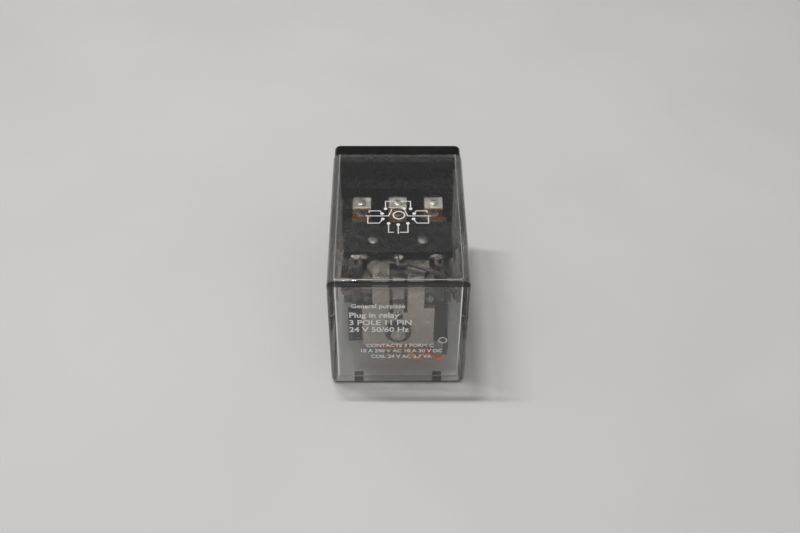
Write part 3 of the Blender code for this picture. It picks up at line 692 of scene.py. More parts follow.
def scratches(look, seed):
    """Thin straight lines here and there, at one slant."""
    turn = (seed * 1.1, seed * 0.7, seed * 2.3)
    streaks = look.noise(0.5, 2.0, stretch=(0.02, 1, 1), turn=turn)
    near = look.spread(look.away(streaks, 0.5), 0.012, 0.0)
    return look.times(near, look.spread(look.noise(7.0, 2.0), 0.5, 0.62))


def vent_mask(look, across, along, height):
    """One on the walls of the two vents, where shade is painted, and nought elsewhere."""
    margin = 0.05
    width, depth = VENT_SIZE
    middle = CLOSED_END + (VENT_START + depth / 2) * MM
    beside = look.under(look.away(across, VENT_X * MM), (width / 2 + margin) * MM)
    before = look.under(look.away(along, middle), (depth / 2 + margin) * MM)
    return look.times(look.times(beside, before), look.under(height, (WALL - margin) * MM))


def edge_mask(look, along, height):
    """One on the closed end's face near its top and bottom edges, where shade is painted, and nought
    elsewhere.
    """
    high = look.over(height, (COVER_HEIGHT - EDGE_SHADE_BAND["top"]) * MM)
    low = look.under(height, EDGE_SHADE_BAND["bottom"] * MM)
    face = look.under(along, CLOSED_END + EDGE_SHADE_BAND["depth"] * MM)
    return look.times(face, look.math("MAXIMUM", high, low))


def clear_glass(look, across, along, height):
    """The clear plastic as the eye meets it: scratched, smeared, and scuffed underneath.

    The vents' walls and the strips beside the closed end's edges are painted dark: a painted shade,
    standing for the light that the wall leads away from them.
    """
    marks = look.math("MAXIMUM", scratches(look, 1.0), scratches(look, 2.0))
    smears = look.spread(look.noise(6.0, 5.0, distortion=0.8), 0.45, 0.75)
    rough = look.math("ADD", look.times(smears, 0.035), look.times(marks, 0.25))
    rough = look.math("ADD", rough, 0.01)
    behind = look.over(along, CLOSED_END + WALL * MM)
    underside = look.times(look.under(height, 0.1 * MM), behind)
    # Painted shade on the vents' walls and on the strips by the closed end's edges
    painted_shade = look.math("MAXIMUM", vent_mask(look, across, along, height), edge_mask(look, along, height))
    inputs = {
        "Base Color": look.blend(painted_shade, CLEAR_TINT, EDGE_SHADE_TINT),
        "Roughness": look.math("MAXIMUM", rough, look.times(underside, UNDERSIDE_ROUGHNESS)),
        "Normal": look.bump(marks, 0.002, look.bump(look.noise(4.0, 1.0), 0.004)),
        "Transmission Weight": 1.0,
        "IOR": 1.585,
        "Specular IOR Level": 0.15,
    }
    return look.node("BsdfPrincipled", inputs)


def clear_plastic():
    """Clear polycarbonate that lamps and scattered light shine through, so what is inside is lit.

    The side walls, which the lamps graze, pass less of their light than the top. Hardly any passes
    where it meets the closed end edge on, because it is led away inside the wall.
    """
    look = Look("clear_cover")
    x, along, height = look.node("SeparateXYZ", {"Vector": look.place()}).outputs
    across = look.math("ABSOLUTE", x)
    end_wall = look.under(along, CLOSED_END + WALL * MM)
    side_wall = look.over(across, (COVER_HALF - WALL - 0.1) * MM)
    level = look.over(look.away(height, AXIS_Z * MM), (AXIS_Z - END_RADIUS) * MM)
    path = look.node("LightPath").outputs
    passed = look.blend(side_wall, PASSES["top"], PASSES["side"])
    passed = look.blend(end_wall, passed, PASSES["end"])
    passed = look.blend(path["Is Diffuse Ray"], passed, PASSES["scattered"])
    passed = look.blend(look.times(level, end_wall), passed, PASSES["edge_on"])
    through = look.node("BsdfTransparent", {"Color": passed})
    glass = clear_glass(look, across, along, height)
    lamp = look.math("MAXIMUM", path["Is Shadow Ray"], path["Is Diffuse Ray"])
    mix = look.node("MixShader", {0: lamp, 1: glass.outputs[0], 2: through.outputs[0]})
    smoke = look.node("VolumeAbsorption", {"Color": (0.8, 0.8, 0.78, 1), "Density": 12.0})
    look.feed(look.output.inputs["Volume"], smoke.outputs[0])
    look.end(mix)


def make_materials():
    """Every material: its light and dark colours, then how rough it is and how its grain runs."""
    upright = (1, 1, 0.05)
    lengthwise = (1, 0.05, 1)
    sideways = (0.06, 1, 1)
    clear_plastic()
    printed_ink()
    moulded("black_phenolic", (0.005, 0.005, 0.0055), (0.011, 0.0105, 0.01), 0.3, 0.12)
    moulded("insulator_black", (0.006, 0.006, 0.0065), (0.013, 0.0125, 0.012), 0.28, 0.1)
    moulded("bobbin_black", (0.005, 0.005, 0.006), (0.011, 0.011, 0.0115), 0.4, 0.15, shine=0.1)
    # Painted shade: the frame's plated steel is painted far darker than the armature's, standing for the
    # shade it lies in inside the relay
    plated("frame_steel", (0.12, 0.11, 0.098), (0.07, 0.062, 0.054), 0.38, upright, worn=0.2)
    # Painted shade: the armature's steel is painted darker behind its front face, so its top bend and tail
    # look less lit than the front
    darker_along_y = (4.3, 5.2, 0.65)
    plated("armature_steel", (0.46, 0.415, 0.37), (0.29, 0.253, 0.215), 0.34, upright, darker_along_y=darker_along_y)
    plated("core_steel", (0.5, 0.49, 0.47), (0.3, 0.28, 0.26), 0.34, lengthwise)
    plated("pin_nickel", (0.66, 0.65, 0.61), (0.45, 0.43, 0.38), 0.26, lengthwise, 0.35, 0.2)
    rivet = {"tarnish": 0.3, "worn": 0.3, "fine": 0.3}
    plated("rivet_steel", (0.13, 0.127, 0.12), (0.065, 0.062, 0.057), 0.38, **rivet)
    silver = {"tarnish": 0.35, "worn": 0.3, "fine": 0.3}
    plated("contact_silver", (0.7, 0.69, 0.65), (0.4, 0.385, 0.34), 0.26, **silver)
    plated("tab_silver", (0.6, 0.59, 0.545), (0.34, 0.33, 0.285), 0.36, sideways, 0.45, 1.0)
    # The arms darken towards their tails, nearly black in front of the insulator
    darker_along_y = (18, 14, 0.96)
    plated("bronze_arm", (0.34, 0.165, 0.08), (0.17, 0.075, 0.033), 0.4, lengthwise, 0.6, 0.3, darker_along_y=darker_along_y)
    plated("copper", (0.7, 0.36, 0.22), (0.4, 0.17, 0.09), 0.35, worn=0.3)
    drawn_wire("spring_steel", (0.6, 0.59, 0.56), (0.36, 0.34, 0.31), 0.28, 0.3)
    drawn_wire("copper_braid", (0.17, 0.152, 0.152), (0.07, 0.057, 0.053), 0.4, 0.25)
    enamelled_wire()
    cloth_tape()
    pressed_fibre()
    solder_look()
    wire_sleeve("orange_lead", (0.86, 0.25, 0.07), (0.66, 0.16, 0.045))
    wire_sleeve("cream_resin", (0.5, 0.46, 0.36), (0.34, 0.3, 0.22))
    wire_sleeve("black_sleeve", (0.02, 0.018, 0.017), (0.009, 0.008, 0.008))
    wire_sleeve("brown_lead", (0.13, 0.042, 0.026), (0.07, 0.022, 0.014))
    table_top()


# ---- cover and print


def corner_inset(radius, depth):
    """How far the inside stands in from the outside, at a depth behind the closed end."""
    left = max(radius - depth, 0)
    return WALL + radius - sqrt(radius**2 - left**2)


def make_cover():
    """The clear cover as one shell: round edges outside, a small rim, and two vents."""
    edge, rim, end = END_RADIUS, RIM_RADIUS, COVER_LENGTH
    profile = [(edge * (1 - sin(t)), INK_DEPTH + edge * (1 - cos(t))) for t in quarter(8)]
    small = quarter(6)
    profile += [(rim * (1 - cos(t)), end - rim * (1 - sin(t))) for t in small]
    profile += [(WALL - rim * (1 - sin(t)), end - rim * (1 - cos(t))) for t in small]
    sections = []
    for inset, y in profile:
        outline = rounded_rectangle(COVER_HALF, 0, COVER_HEIGHT - INK_DEPTH, EDGE_RADIUS, inset)
        sections.append([(x, y, z) for x, z in outline])
    deepest = max(INSIDE_RADII.values())
    for turn in small:
        depth = deepest * (1 - sin(turn))
        side, low, high = (corner_inset(radius, depth) for radius in INSIDE_RADII.values())
        outline = rounded_rectangle(COVER_HALF - side, low, COVER_HEIGHT - INK_DEPTH - high, 0)
        sections.append([(x, WALL + depth, z) for x, z in outline])
    cover = make_object("clear_cover_shell", loft(sections), "clear_cover")
    width, depth = VENT_SIZE
    vents = []
    for x in (-VENT_X, VENT_X):
        low = (x - width / 2, VENT_START, -1)
        vents.append(box(low, (x + width / 2, VENT_START + depth, WALL + 1)))
    combine(cover, merge(vents), "DIFFERENCE")
    return finish_piece(cover, nodes=["cover"])


def ink_line(points, width, surface):
    """A printed line through (x, y) points on the cover's top, with square corners."""
    sections = []
    for i, here in enumerate(points):
        before, after = Vector(points[max(i - 1, 0)]), Vector(points[min(i + 1, len(points) - 1)])
        here = Vector(here)
        into = (here - before).normalized() if i else (after - here).normalized()
        out = (after - here).normalized() if i < len(points) - 1 else into
        along = (into + out).normalized()
        side = Vector((-along.y, along.x)) * width / 2 / max(along.dot(into), 0.5)
        low, high = here - side, here + side
        z0, z1 = surface
        sections.append([(*low, z0), (*high, z0), (*high, z1), (*low, z1)])
    return loft(sections)


def ink_dot(place, radius, surface):
    low, high = surface
    return lathe(band(0, radius, low, high + 0.001), place, "Z", steps=24)


def make_diagram():
    """The white wiring diagram: a key ring, a coil, and three changeover poles."""
    top = COVER_HEIGHT - INK_DEPTH
    surface = (top - 0.01, COVER_HEIGHT - 0.001)
    middle = 24.5
    lines = []
    dots = []
    for side in (-1, 1):
        lines.append([(side * 3.3, 27.0), (side * 3.3, 30.0), (side * 0.6, 30.0)])
        lines.append([(side * 8.6, middle - 0.3), (side * 2.5, middle - 0.3), (side * 1.6, 27.0)])
        closed = [(7.6, middle + 1.0), (7.6, 26.2), (4.8, 26.2), (4.2, 25.2)]
        opened = [(7.9, middle - 0.5), (7.9, 21.4), (4.9, 21.4), (4.0, 22.9)]
        lines += [[(side * x, y) for x, y in throw] for throw in (closed, opened)]
        dots += [(side * 3.3, 27.0), (side * 4.2, 25.1), (side * 4.0, 23.0)]
    lines.append([(-2.5, 21.2), (-2.5, 17.9), (-1.2, 17.9)])
    lines.append([(0.0, 20.7), (0.0, 17.3)])
    lines.append([(2.5, 21.2), (2.5, 17.9), (0.4, 17.9)])
    dots += [(-2.5, 21.3), (0.0, 20.8), (2.5, 21.3), (1.6, 27.1)]
    shapes = [ink_line(points, 0.26, surface) for points in lines]
    shapes += [ink_dot(place, 0.48, surface) for place in dots]
    ring = band(1.3, 1.65, surface[0], surface[1] + 0.001)
    shapes.append(lathe(ring, (0.2, middle), "Z", steps=64, closed=True))
    return add_piece("wiring_diagram", merge(shapes), "clear_cover", material="white_ink")


def text_shape(words, size, place, centred=True, depth=0.012, turn=0.0, drop=0.0):
    """Flat upright letters at a place, turned about Z. drop lowers their line."""
    curve = bpy.data.curves.new("words", "FONT")
    curve.body = words
    curve.size = size * MM
    curve.extrude = depth / 2 * MM
    curve.offset = size * 0.022 * MM
    curve.resolution_u = 4
    item = put_in_scene("words", curve)
    shape = bmesh.new()
    shape.from_mesh(evaluated_mesh(item))
    bmesh.ops.remove_doubles(shape, verts=shape.verts, dist=0.0005 * MM)
    bpy.data.objects.remove(item)
    width = max(v.co.x for v in shape.verts) - min(v.co.x for v in shape.verts)
    start = Matrix.Translation((-width / 2 if centred else 0, -drop * MM, 0))
    upright = Matrix.Rotation(turn, 4, "Z") @ Matrix.Rotation(radians(90), 4, "X")
    shape.transform(Matrix.Translation(at(*place)) @ upright @ start)
    return shape


def make_ratings():
    """Generic print on the closed end, where a relay carries its ratings."""
    large, small = 2.6, 1.75
    lines = [
        ("General purpose", 2.0, -12.0, 29.5, False),
        ("Plug in relay", large, -12.6, 26.0, False),
        ("3 POLE 11 PIN", large, -12.6, 23.2, False),
        ("24 V 50/60 Hz", large, -12.6, 20.6, False),
        ("CONTACTS 3 FORM C", small, 0.4, 14.7, True),
        ("10 A 250 V AC 10 A 30 V DC", small, 0.6, 12.6, True),
        ("COIL 24 V AC 2.7 VA", small, 0.8, 10.4, True),
    ]
    face = INK_DEPTH - 0.004
    shapes = [text_shape(words, size, (x, face, z), centred) for words, size, x, z, centred in lines]
    face = INK_DEPTH - 0.01
    ring = band(0.9, 1.15, face, face - 0.009)
    shapes.append(lathe(ring, (11.5, 17.3), steps=48, closed=True))
    return add_piece("ratings_print", merge(shapes), "clear_cover", material="white_ink")


# ---- base and pins


def pin_places():
    """Each pin's number and centre, evenly round the circle from the key."""
    for i in range(PIN_COUNT):
        turn = tau * (i + 0.5) / PIN_COUNT
        yield i + 1, PIN_CIRCLE_RADIUS * sin(turn), AXIS_Z + PIN_CIRCLE_RADIUS * cos(turn)


def make_base():
    """The phenolic base: flange, spigot, header, stepped round boss, and keyed post."""
    flange = rounded_rectangle(FLANGE_HALF, GAP, COVER_HEIGHT - GAP, EDGE_RADIUS - GAP)
    base = make_object("moulded_base", prism(flange, FLANGE_START, FLANGE_END), "black_phenolic")
    spigot = rounded_rectangle(COVER_HALF, 0, COVER_HEIGHT, EDGE_RADIUS, WALL + GAP, steps=4)
    combine(base, prism(spigot, SPIGOT_START, FLANGE_START + 1.7))
    low = (-HEADER_HALF, HEADER_START, HEADER_BOTTOM)
    combine(base, box(low, (HEADER_HALF, FLANGE_START + 1.0, HEADER_TOP)))
    for side in (-1, 1):
        edge = side * (HEADER_HALF + HEADER_BOSS_RISE / 4)
        x0, x1 = sorted((edge, edge - side * HEADER_BOSS_WIDTH))
        low = (x0, HEADER_START - HEADER_BOSS_RISE, HEADER_BOTTOM - HEADER_BOSS_RISE)
        combine(base, box(low, (x1, FLANGE_START + 0.6, HEADER_TOP + HEADER_BOSS_RISE)))
    dish = BOSS_END - DISH_DEPTH
    boss = [(0, FLANGE_END - 1.5), (BOSS_RADIUS, FLANGE_END - 1.5), (BOSS_RADIUS, BOSS_END)]
    boss += [(BOSS_RADIUS - 0.9, BOSS_END), (BOSS_RADIUS - 1.1, dish), (6.0, dish)]
    boss += [(5.8, BOSS_END), (0, BOSS_END)]
    combine(base, lathe(boss, (0, AXIS_Z), steps=96))
    tip = POST_RADIUS - POST_CHAMFER
    post = [(0, FLANGE_END - 1), (POST_RADIUS, FLANGE_END - 1), (POST_RADIUS, PLUG_END - POST_CHAMFER)]
    post += [(tip, PLUG_END), (1.6, PLUG_END), (1.3, PLUG_END - 1.2), (0, PLUG_END - 1.4)]
    combine(base, lathe(post, (0, AXIS_Z), steps=64))
    low = (-KEY_WIDTH / 2, FLANGE_END - 0.5, AXIS_Z + POST_RADIUS / 2)
    high = (KEY_WIDTH / 2, PLUG_END - 2 * POST_CHAMFER, AXIS_Z + POST_RADIUS + KEY_RISE)
    combine(base, box(low, high))
    cutters = []
    for side in (-1, 1):
        hole = [(0, 51.9), (2.6, 51.9), (2.6, FLANGE_END + 3), (0, FLANGE_END + 3)]
        cutters.append(lathe(hole, (side * SCREW_X, SCREW_Z), steps=32))
    combine(base, merge(cutters), "DIFFERENCE")
    flatten(base)
    return finish_piece(base, nodes=["base"], rounding=0.16)


def make_pins():
    """Eleven nickel-plated tube pins, each with a swaged collar and a soldered tip."""
    rolled = PIN_RADIUS * 0.34
    shoulder = PIN_RADIUS - rolled
    depth = rolled * 1.9
    collar = [(PIN_RADIUS, -0.6), (1.95, -0.6), (1.95, -0.1), (1.8, 0.08), (1.45, 0.16)]
    collar += [(PIN_RADIUS + 0.08, 0.4), (PIN_RADIUS, 0.7)]
    profile = [(0, PIN_START), (PIN_RADIUS, PIN_START)]
    profile += [(radius, BOSS_END + rise) for radius, rise in collar]
    round_end = [(cos(t), sin(t)) for t in quarter(8)]
    profile += [(rolled + shoulder * c, PIN_END - depth + depth * s) for c, s in round_end]
    profile += [(rolled * 0.7, PIN_END - 0.1), (rolled * 0.45, PIN_END - 0.35), (0, PIN_END - 0.4)]
    for number, x, z in pin_places():
        shape = lathe(profile, (x, z), steps=32)
        add_piece(f"tube_pin_{number:02d}", shape, "pin_nickel", nodes=[f"pin_{number:02d}"])
        drop = lump((x, PIN_END - 0.32, z), (0.42, 0.28, 0.42), 0.2, number, level=3)
        add_piece(f"pin_solder_{number:02d}", drop, "solder")


def make_pin_numbers():
    """Raised pin numbers on the plug's face, which faces along Y."""
    shapes = []
    for number, x, z in pin_places():
        out = Vector((x, z - AXIS_Z)).normalized() * 12.35
        place = (out.x, BOSS_END - DISH_DEPTH, AXIS_Z + out.y)
        shapes.append(text_shape(str(number), 1.5, place, depth=0.24, turn=pi, drop=0.5))
    return add_piece("pin_numbers", merge(shapes), "black_phenolic")


# ---- magnet system


def make_fasteners():
    """Slotted screws through the base, with turned spacers up to the frame."""
    for name, side in (("left", -1), ("right", 1)):
        place = (side * SCREW_X, SCREW_Z)
        spacer = [(1.55, 29.9), (2.45, 29.9), (2.6, 30.05)]
        spacer += [(2.6, WIRE_END - 0.15), (2.45, WIRE_END), (1.55, WIRE_END)]
        shape = lathe(spacer, place, steps=40, closed=True)
        add_piece(f"turned_spacer_{name}", shape, "core_steel", nodes=[f"frame_spacer_{name}"])
        profile = [(0, 28.1), (1.0, 28.1), (1.25, 28.35), (1.25, 52.2), (2.3, 52.2)]
        shares = [i / 4 for i in range(5)]
        profile += [(2.3 - 0.35 * share, 53.3 + 0.6 * sin(share * 1.57)) for share in shares]
        profile += [(0, 53.95)]
        screw = make_object(f"slotted_screw_{name}", lathe(profile, place, steps=40), "rivet_steel")
        low = (place[0] - 0.4, 53.1, SCREW_Z - 4)
        combine(screw, box(low, (place[0] + 0.4, 56, SCREW_Z + 4)), "DIFFERENCE")
        finish_piece(screw, nodes=[f"frame_screw_{name}"], rounding=0.06)


def make_core():
    """The core, with its pole head, copper shading ring, and the stake behind the frame."""
    head = [(0, 7.1), (2.4, 7.1), (2.4, 7.6), (3.7, 7.6), (3.7, 7.1), (4.85, 7.1), (5.0, 7.25), (5.0, 7.7)]
    shank = [(4.0, 7.7), (4.0, 27.7), (2.4, 27.7), (2.4, 29.9)]
    stake = [(2.9, 29.9), (2.75, 30.3), (2.2, 30.4), (0, 30.4)]
    profile = head + shank + stake
    add_piece("turned_core", lathe(profile, (0, COIL_Z)), "core_steel", nodes=["core"])
    ring = lathe(band(2.7, 3.4, 7.3, 7.58), (0, COIL_Z), closed=True)
    add_piece("pole_shading_ring", ring, "copper", nodes=["shading_ring"])


def ridges(start, pitch, count):
    """Places along a row of round turns, each with its share of a turn's height."""
    for i in range(count * 4):
        share = (i % 4 + 0.5) / 4
        yield start + pitch * (i // 4 + share), sin(pi * share)


def make_winding():
    """Enamelled wire laid turn by turn."""
    turns = int((WINDING_END - WINDING_START) / WIRE_PITCH)
    pitch = (WINDING_END - WINDING_START) / turns
    outer = ridges(WINDING_START, pitch, turns)
    profile = [(WINDING_RADIUS - 0.16 + 0.16 * bulge, y) for y, bulge in outer]
    layers = int((WINDING_RADIUS - WINDING_INNER) / WIRE_PITCH)
    step = (WINDING_RADIUS - 0.3 - WINDING_INNER) / layers
    across = ridges(WINDING_INNER, step, layers)
    front = [(reach, WINDING_START + 0.14 * (1 - bulge)) for reach, bulge in across]
    inner_end = [(WINDING_INNER, WINDING_END)]
    shape = lathe(front + profile + inner_end, (0, COIL_Z), steps=72, closed=True)
    for vert in shape.verts:
        vert.co += noise.noise_vector(vert.co * 700) * 0.035 * MM
    add_piece("enamelled_winding", shape, "winding_red", nodes=["winding"])


def make_tape():
    """The coil's tape, with its free end lifting a little."""
    profile = [(12.1, 10.5), (12.38, 10.5), (12.46, 10.62), (12.46, 15.5), (12.5, 15.56), (12.5, 20.4)]
    profile += [(12.46, 20.46), (12.46, 25.1), (12.38, 25.2), (12.1, 25.2)]
    tape = lathe(profile, (0, COIL_Z), steps=96, closed=True)
    for vert in tape.verts:
        reach = Vector((vert.co.x, 0, vert.co.z - COIL_Z * MM))
        vert.co += reach.normalized() * noise.noise(vert.co * 260) * 0.12 * MM
    add_piece("coil_tape_wrap", tape, "tape_black", nodes=["coil_tape"])
    flap = []
    steps = 18
    inner, outer = 12.5, 12.62
    for i in range(steps + 1):
        turn = radians(118 + 3 * i)
        lift = 0.02 + 0.03 * sin(i * 0.7)
        top = outer + lift - (0.1 if i == steps else 0)
        section = band(inner + lift, top, 10.9, 24.8)
        flap.append([(r * cos(turn), y, COIL_Z + r * sin(turn)) for r, y in section])
    add_piece("coil_tape_end", loft(flap), "tape_black", rounding=0.04)


def make_coil_lugs():
    """Tinned lugs on the front flange, each with a bead over the wire's end: solder on the left and cream
    resin on the right.
    """
    for name, side, skin in (("left", -1, "solder"), ("right", 1, "cream_resin")):
        x = side * 7.9
        lug = box((x - 0.8, 8.2, 23.2), (x + 0.8, 8.7, 26.2))
        add_piece(f"tinned_lug_{name}", lug, "solder", nodes=[f"coil_lug_{name}"], rounding=0.12)
        drop = lump((x, 8.25, 25.1), (1.12, 0.95, 1.15), 0.22, side + 3.0)
        add_piece(f"lug_bead_{name}", drop, "solder", material=skin)


def make_lead(name, points, slot, nodes):
    """An insulated lead along a route's own points."""
    route = smooth_route(points, 0.7)
    return add_piece(name, tube(route, LEAD_RADIUS, 20), slot, nodes=nodes)


def make_leads():
    """The insulated coil leads, and the bare tinned ends that run into the solder."""
    left = [(-7.6, 9.9, 27.6), (-9.5, 11.3, 26.4), (-12.6, 13.6, 22), (-14.8, 18.5, 17.5)]
    left += [(-15.0, 28, 15.5), (-14.4, 37, 15.2), (-13.2, WIRE_END, 15)]
    make_lead("insulated_lead_left", left, "brown_lead", ["coil_lead_left"])
    right = [(3.0, 9.0, 5.6), (4.4, 7.3, 3.4), (5.9, 7.2, 3.0), (7.7, 10.4, 3.0)]
    right += [(9.3, 8.4, 2.9), (11.0, 7.0, 3.0), (12.5, 7.6, 3.8), (13.0, 10, 5.2)]
    right += [(12.9, 13, 6.6), (12.9, 20, 9.0), (13.6, 26, 12), (13.8, 30, 13)]
    right += [(13.6, 37, 13.6), (13.2, WIRE_END, 14)]
    make_lead("insulated_lead_right", right, "orange_lead", ["coil_lead_right"])
    sleeve = tube(smooth_route(right[6:], 0.7), LEAD_RADIUS + 0.12, 20)
    add_piece("lead_sleeve_right", sleeve, "orange_lead", material="black_sleeve")
    ends = {
        "lead_end_left": [(-8.2, 10.4, 27.3), (-7.6, 9.8, 27.7), (-7.4, 9.0, 27.2), (-7.7, 8.5, 25.6)],
        "lead_end_right": [(3.4, 8.5, 4.9), (2.8, 9.1, 5.9), (2.2, 9.45, 7.0)],
        "header_end_left": [(-13.4, 42.5, 15.0), (-13.2, 43.4, 15.0), (-13.0, 44.6, 15.0)],
        "header_end_right": [(13.25, 42.5, 14.0), (13.2, 43.4, 14.0), (13.0, 44.6, 14.0)],
    }
    for name, points in ends.items():
        add_piece(name, tube(smooth_route(points, 0.2), 0.3, 12), "solder")


def make_washer_and_rivet():
    """The fibre washer on the armature and the domed residual rivet through it."""
    ring = [(1.3, 3.5), (3.3, 3.5), (3.4, 3.6), (3.4, 4.05), (3.35, 4.1), (1.3, 4.1)]
    shape = lathe(ring, (0, RESIDUAL_Z), steps=64, closed=True)
    add_piece("pressed_fibre_washer", shape, "fibre_black", MOVING, ["fibre_washer"])
    profile = dome(1.15, 2.55, 2.2, 10)[::-1] + [(1.3, 2.75), (1.55, 2.62), (1.8, 2.68), (1.9, 2.85)]
    profile += [(1.9, 3.2), (1.0, 3.2), (1.0, 6.1), (0, 6.1)]
    rivet = make_object("domed_residual_rivet", lathe(profile, (0, RESIDUAL_Z), steps=64), "armature_steel")
    finish_piece(rivet, MOVING, ["residual_rivet"])


def make_return_spring():
    """The return spring, a helix of wire between its low and high ends."""
    route = []
    steps = SPRING_TURNS * 20
    for i in range(steps + 1):
        turn = tau * SPRING_TURNS * i / steps
        z = SPRING_LOW + (SPRING_HIGH - SPRING_LOW) * i / steps
        route.append(Vector((SPRING_RADIUS * cos(turn), SPRING_Y + SPRING_RADIUS * sin(turn), z)))
    shape = tube(route, SPRING_WIRE, 10)
    spring = make_object("wound_return_spring", shape, "spring_steel")
    shade(spring)
    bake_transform(spring)
    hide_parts("return_spring")


# ---- contacts


def make_insulator_rivets():
    """The two rivets through the insulator, with domed heads."""
    for name, side in (("left", -1), ("right", 1)):
        rim = INSULATOR_TOP
        profile = [(0, 31.3), (0.7, 31.3), (0.7, rim), (1.52, rim), (1.6, rim + 0.08)]
        profile += dome(1.6, rim + 0.15, rim + 0.6, 8)
        shape = lathe(profile, (side * RIVET_X, RIVET_Y), "Z")
        add_piece(f"domed_rivet_{name}", shape, "rivet_steel", MOVING, [f"insulator_rivet_{name}"])


def arm_half_width(y, z):
    """An arm's half width: narrow in the insulator and wider towards the contact."""
    return 1.5 + ease(y, 25.5, 28.5)


def contact_shape(x, z, thickness, radii, heights):
    """A silver contact rivet: domes over and under a strip, joined by a shank."""
    (upper, lower), (up, down) = radii, heights
    top_rim, bottom_rim = z + thickness / 2, z - thickness / 2
    profile = dome(lower, bottom_rim - down * 0.45, bottom_rim - down)[::-1]
    profile += [(lower, bottom_rim), (0.7, bottom_rim), (0.7, top_rim), (upper, top_rim)]
    profile += dome(upper, top_rim + up * 0.45, top_rim + up)
    return lathe(profile, (x, CONTACT_Y), "Z", steps=40)


def make_arms():
    """Bronze arms through the insulator, each with its contact and a soldered tail."""
    path = fillet([(11.7, ARM_TAIL_Z), (25.9, ARM_TAIL_Z), (29.5, 33.0), (33.5, ARM_Z), (39.0, ARM_Z)], 1.6)
    for name, x in POLE_X.items():
        shape = strip(path, arm_half_width, ARM_THICKNESS, x)
        add_piece(f"bronze_arm_{name}", shape, "bronze_arm", MOVING, [f"contact_arm_{name}"], 0.06)
        shape = contact_shape(x, ARM_Z, ARM_THICKNESS, (1.5, 1.5), (0.75, 0.75))
        add_piece(f"arm_contact_{name}", shape, "contact_silver", MOVING, [f"moving_contact_{name}"])
        y, radii = TAIL_DROPS[name]
        drop = lump((x, y, ARM_TAIL_Z + 0.1), radii, 0.3, x + 5.0)
        add_piece(f"tail_solder_{name}", drop, "solder", MOVING)


def make_terminals():
    """The fixed terminals, bent from silver-plated strip, with their contacts."""
    kinds = [
        ("open", 30.8, 40.0, 21.8, (1.15, 1.5), (0.5, 0.6)),
        ("closed", 24.8, 38.7, 18.6, (1.5, 1.15), (0.6, 0.42)),
    ]
    for kind, tab_z, leg_y, tail_z, radii, heights in kinds:
        corners = [(35.0, tab_z), (leg_y, tab_z), (leg_y, tail_z), (45.6, tail_z)]
        path = fillet(corners, 1.1)

        def half_width(y, z, tab=tab_z):
            return 2.5 - ease(tab - z, 0.6, 2.2)

        for name, x in POLE_X.items():
            shape = strip(path, half_width, TAB_THICKNESS, x)
            replaced = [f"{kind}_terminal_{name}"]
            add_piece(f"{kind}_tab_{name}", shape, "tab_silver", nodes=replaced, rounding=0.14)
            shape = contact_shape(x, tab_z, TAB_THICKNESS, radii, heights)
            add_piece(f"{kind}_button_{name}", shape, "contact_silver", nodes=[f"{kind}_contact_{name}"])


def make_braids():
    """Copper braids from the arms' tails round to the header, woven strand by strand."""
    left = [(-9.8, 12.4, 34.3), (-9.8, 10.0, 34.05), (-11.6, 9.2, 33.2), (-13.2, 9.8, 30.5)]
    left += [(-13.7, 12, 26.5), (-13.8, 17, 22), (-13.9, 26, 20.5), (-13.8, 36, 20)]
    left += [(-13.6, WIRE_END, 19.8), (-13.5, 44.6, 19.8)]
    center = [(0, 12.2, 34.3), (0, 10.0, 34.05), (3.4, 9.4, 34.5), (8.2, 7.4, 34.3), (11.4, 7.2, 32.6)]
    center += [(14.4, 8.2, 28.5), (15.0, 11, 22.5), (14.9, 18, 18), (14.6, 26, 17)]
    center += [(14.2, 38, 16.4), (13.4, WIRE_END, 16.4), (13.2, 44.6, 16.4)]
    right = [(9.8, 12.4, 34.3), (9.8, 10.0, 34.05), (11.6, 9.6, 33.4), (13.0, 10.4, 30.5)]
    right += [(13.6, 12.4, 26.5), (13.7, 17, 22), (13.9, 26, 20.5), (13.8, 36, 20)]
    right += [(13.6, WIRE_END, 19.8), (13.5, 44.6, 19.8)]
    for name, points in (("left", left), ("center", center), ("right", right)):
        route = smooth_route(points, 0.3)
        length = sum((b - a).length for a, b in zip(route, route[1:]))
        turns = length / BRAID_PITCH
        shapes = [tube(route, BRAID_CORE, 8)]
        for way in (-1, 1):
            for strand in range(STRANDS):
                phase = tau * (strand + way / 4) / STRANDS
                line = helix(route, BRAID_CORE + STRAND_RADIUS, way * turns, phase, 0.06, STRANDS)
                shapes.append(tube(line, STRAND_RADIUS, 5))
        braid = make_object(f"woven_braid_{name}", merge(shapes), "copper_braid")
        braid.data.shade_smooth()
        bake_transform(braid)
        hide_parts(f"braid_{name}")


# ---- studio


def make_floor():
    """The table under the relay, a hair below it."""
    shape = bmesh.new()
    bmesh.ops.create_grid(shape, x_segments=8, y_segments=8, size=1.6)
    floor = make_object("table", shape, "table_top")
    floor.location.z = -0.02 * MM


def add_lamp(name, place, size, power):
    """A rectangular, slightly warm soft light with its long side along X, aimed at the relay."""
    data = bpy.data.lights.new(name, "AREA")
    data.shape = "RECTANGLE"
    data.size, data.size_y = size
    data.energy = power
    data.color = (1.0, 0.995, 0.985)
    lamp = put_in_scene(name, data)
    back = (Vector(place) - Vector((0, 0, 0.02))).normalized()
    along = (Vector((1, 0, 0)) - back * back.x).normalized()
    turn = Matrix((along, back.cross(along), back)).transposed().to_4x4()
    lamp.matrix_world = Matrix.Translation(place) @ turn


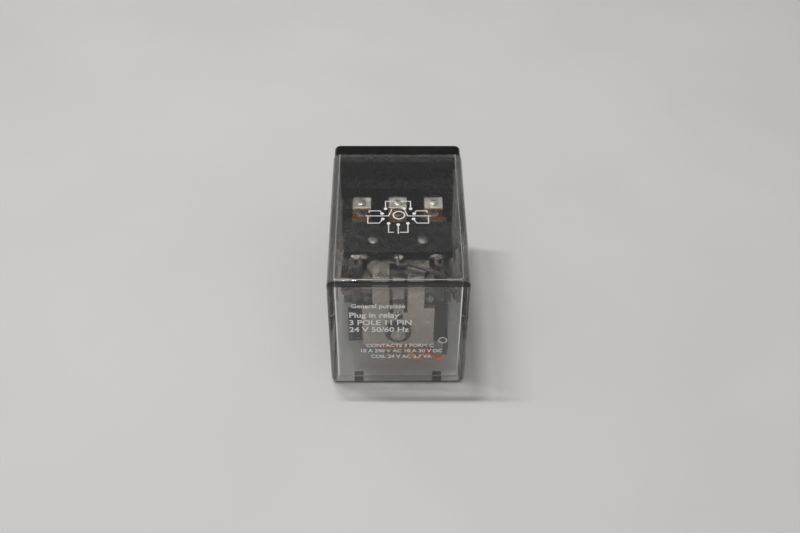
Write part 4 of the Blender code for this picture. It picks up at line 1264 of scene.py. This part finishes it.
def make_lights():
    """Two ceiling lights, a little behind and to the left, in a room that is palest in front."""
    add_lamp("near_light", (-0.062, 0.06, 0.6), (0.07, 0.012), 0.88)
    add_lamp("far_light", (-0.19, 0.06, 0.58), (0.13, 0.02), 0.8)
    world = bpy.data.worlds.new("room")
    world.use_nodes = True
    nodes, links = world.node_tree.nodes, world.node_tree.links
    towards = nodes.new("ShaderNodeVectorMath")
    towards.operation = "DOT_PRODUCT"
    towards.inputs[1].default_value = (-0.1, -0.7, 0.7)
    links.new(nodes.new("ShaderNodeTexCoord").outputs["Generated"], towards.inputs[0])
    level = nodes.new("ShaderNodeMapRange")
    level.inputs["From Min"].default_value = -0.4
    level.inputs["From Max"].default_value = 1.0
    level.inputs["To Min"].default_value = 0.12
    level.inputs["To Max"].default_value = 0.5
    links.new(towards.outputs["Value"], level.inputs["Value"])
    links.new(level.outputs["Result"], nodes["Background"].inputs["Color"])
    nodes["Background"].inputs["Strength"].default_value = 1.0
    bpy.context.scene.world = world


def make_camera():
    """A camera above the closed end, looking down and along the relay."""
    aim = at(0.624, 25.13, 19.45)
    yaw, pitch, roll = radians(0.835), radians(44.474), radians(0.545)
    distance = 0.2904
    ahead = Vector((sin(yaw) * cos(pitch), cos(yaw) * cos(pitch), -sin(pitch)))
    level = ahead.cross(Vector((0, 0, 1))).normalized()
    upright = level.cross(ahead)
    right = level * cos(roll) + upright * sin(roll)
    up = upright * cos(roll) - level * sin(roll)
    data = bpy.data.cameras.new("camera")
    data.lens = 47.565
    data.sensor_width = 36
    data.clip_start = 0.001
    camera = put_in_scene("camera", data)
    turn = Matrix((right, up, -ahead)).transposed().to_4x4()
    camera.matrix_world = Matrix.Translation(aim - ahead * distance) @ turn
    bpy.context.scene.camera = camera


make_materials()
make_cover()
make_diagram()
make_ratings()
make_base()
make_pins()
make_pin_numbers()
make_fasteners()
make_core()
# The frame takes the steel that is painted with shade
refine("frame", "plated_frame", "frame_steel", 0.2)
refine("bobbin", "moulded_bobbin", "bobbin_black", 0.2)
make_winding()
make_tape()
make_coil_lugs()
make_leads()
refine("armature", "plated_armature", "frame_steel", 0.16, MOVING, "armature_steel")
make_washer_and_rivet()
make_return_spring()
refine("insulator", "moulded_insulator", "insulator_black", 0.25, MOVING)
make_insulator_rivets()
make_arms()
make_terminals()
make_braids()
make_floor()
make_lights()
make_camera()
bpy.context.scene.view_settings.view_transform = "Standard"
for kind in ("max_bounces", "transmission_bounces", "glossy_bounces"):
    setattr(bpy.context.scene.cycles, kind, 32)
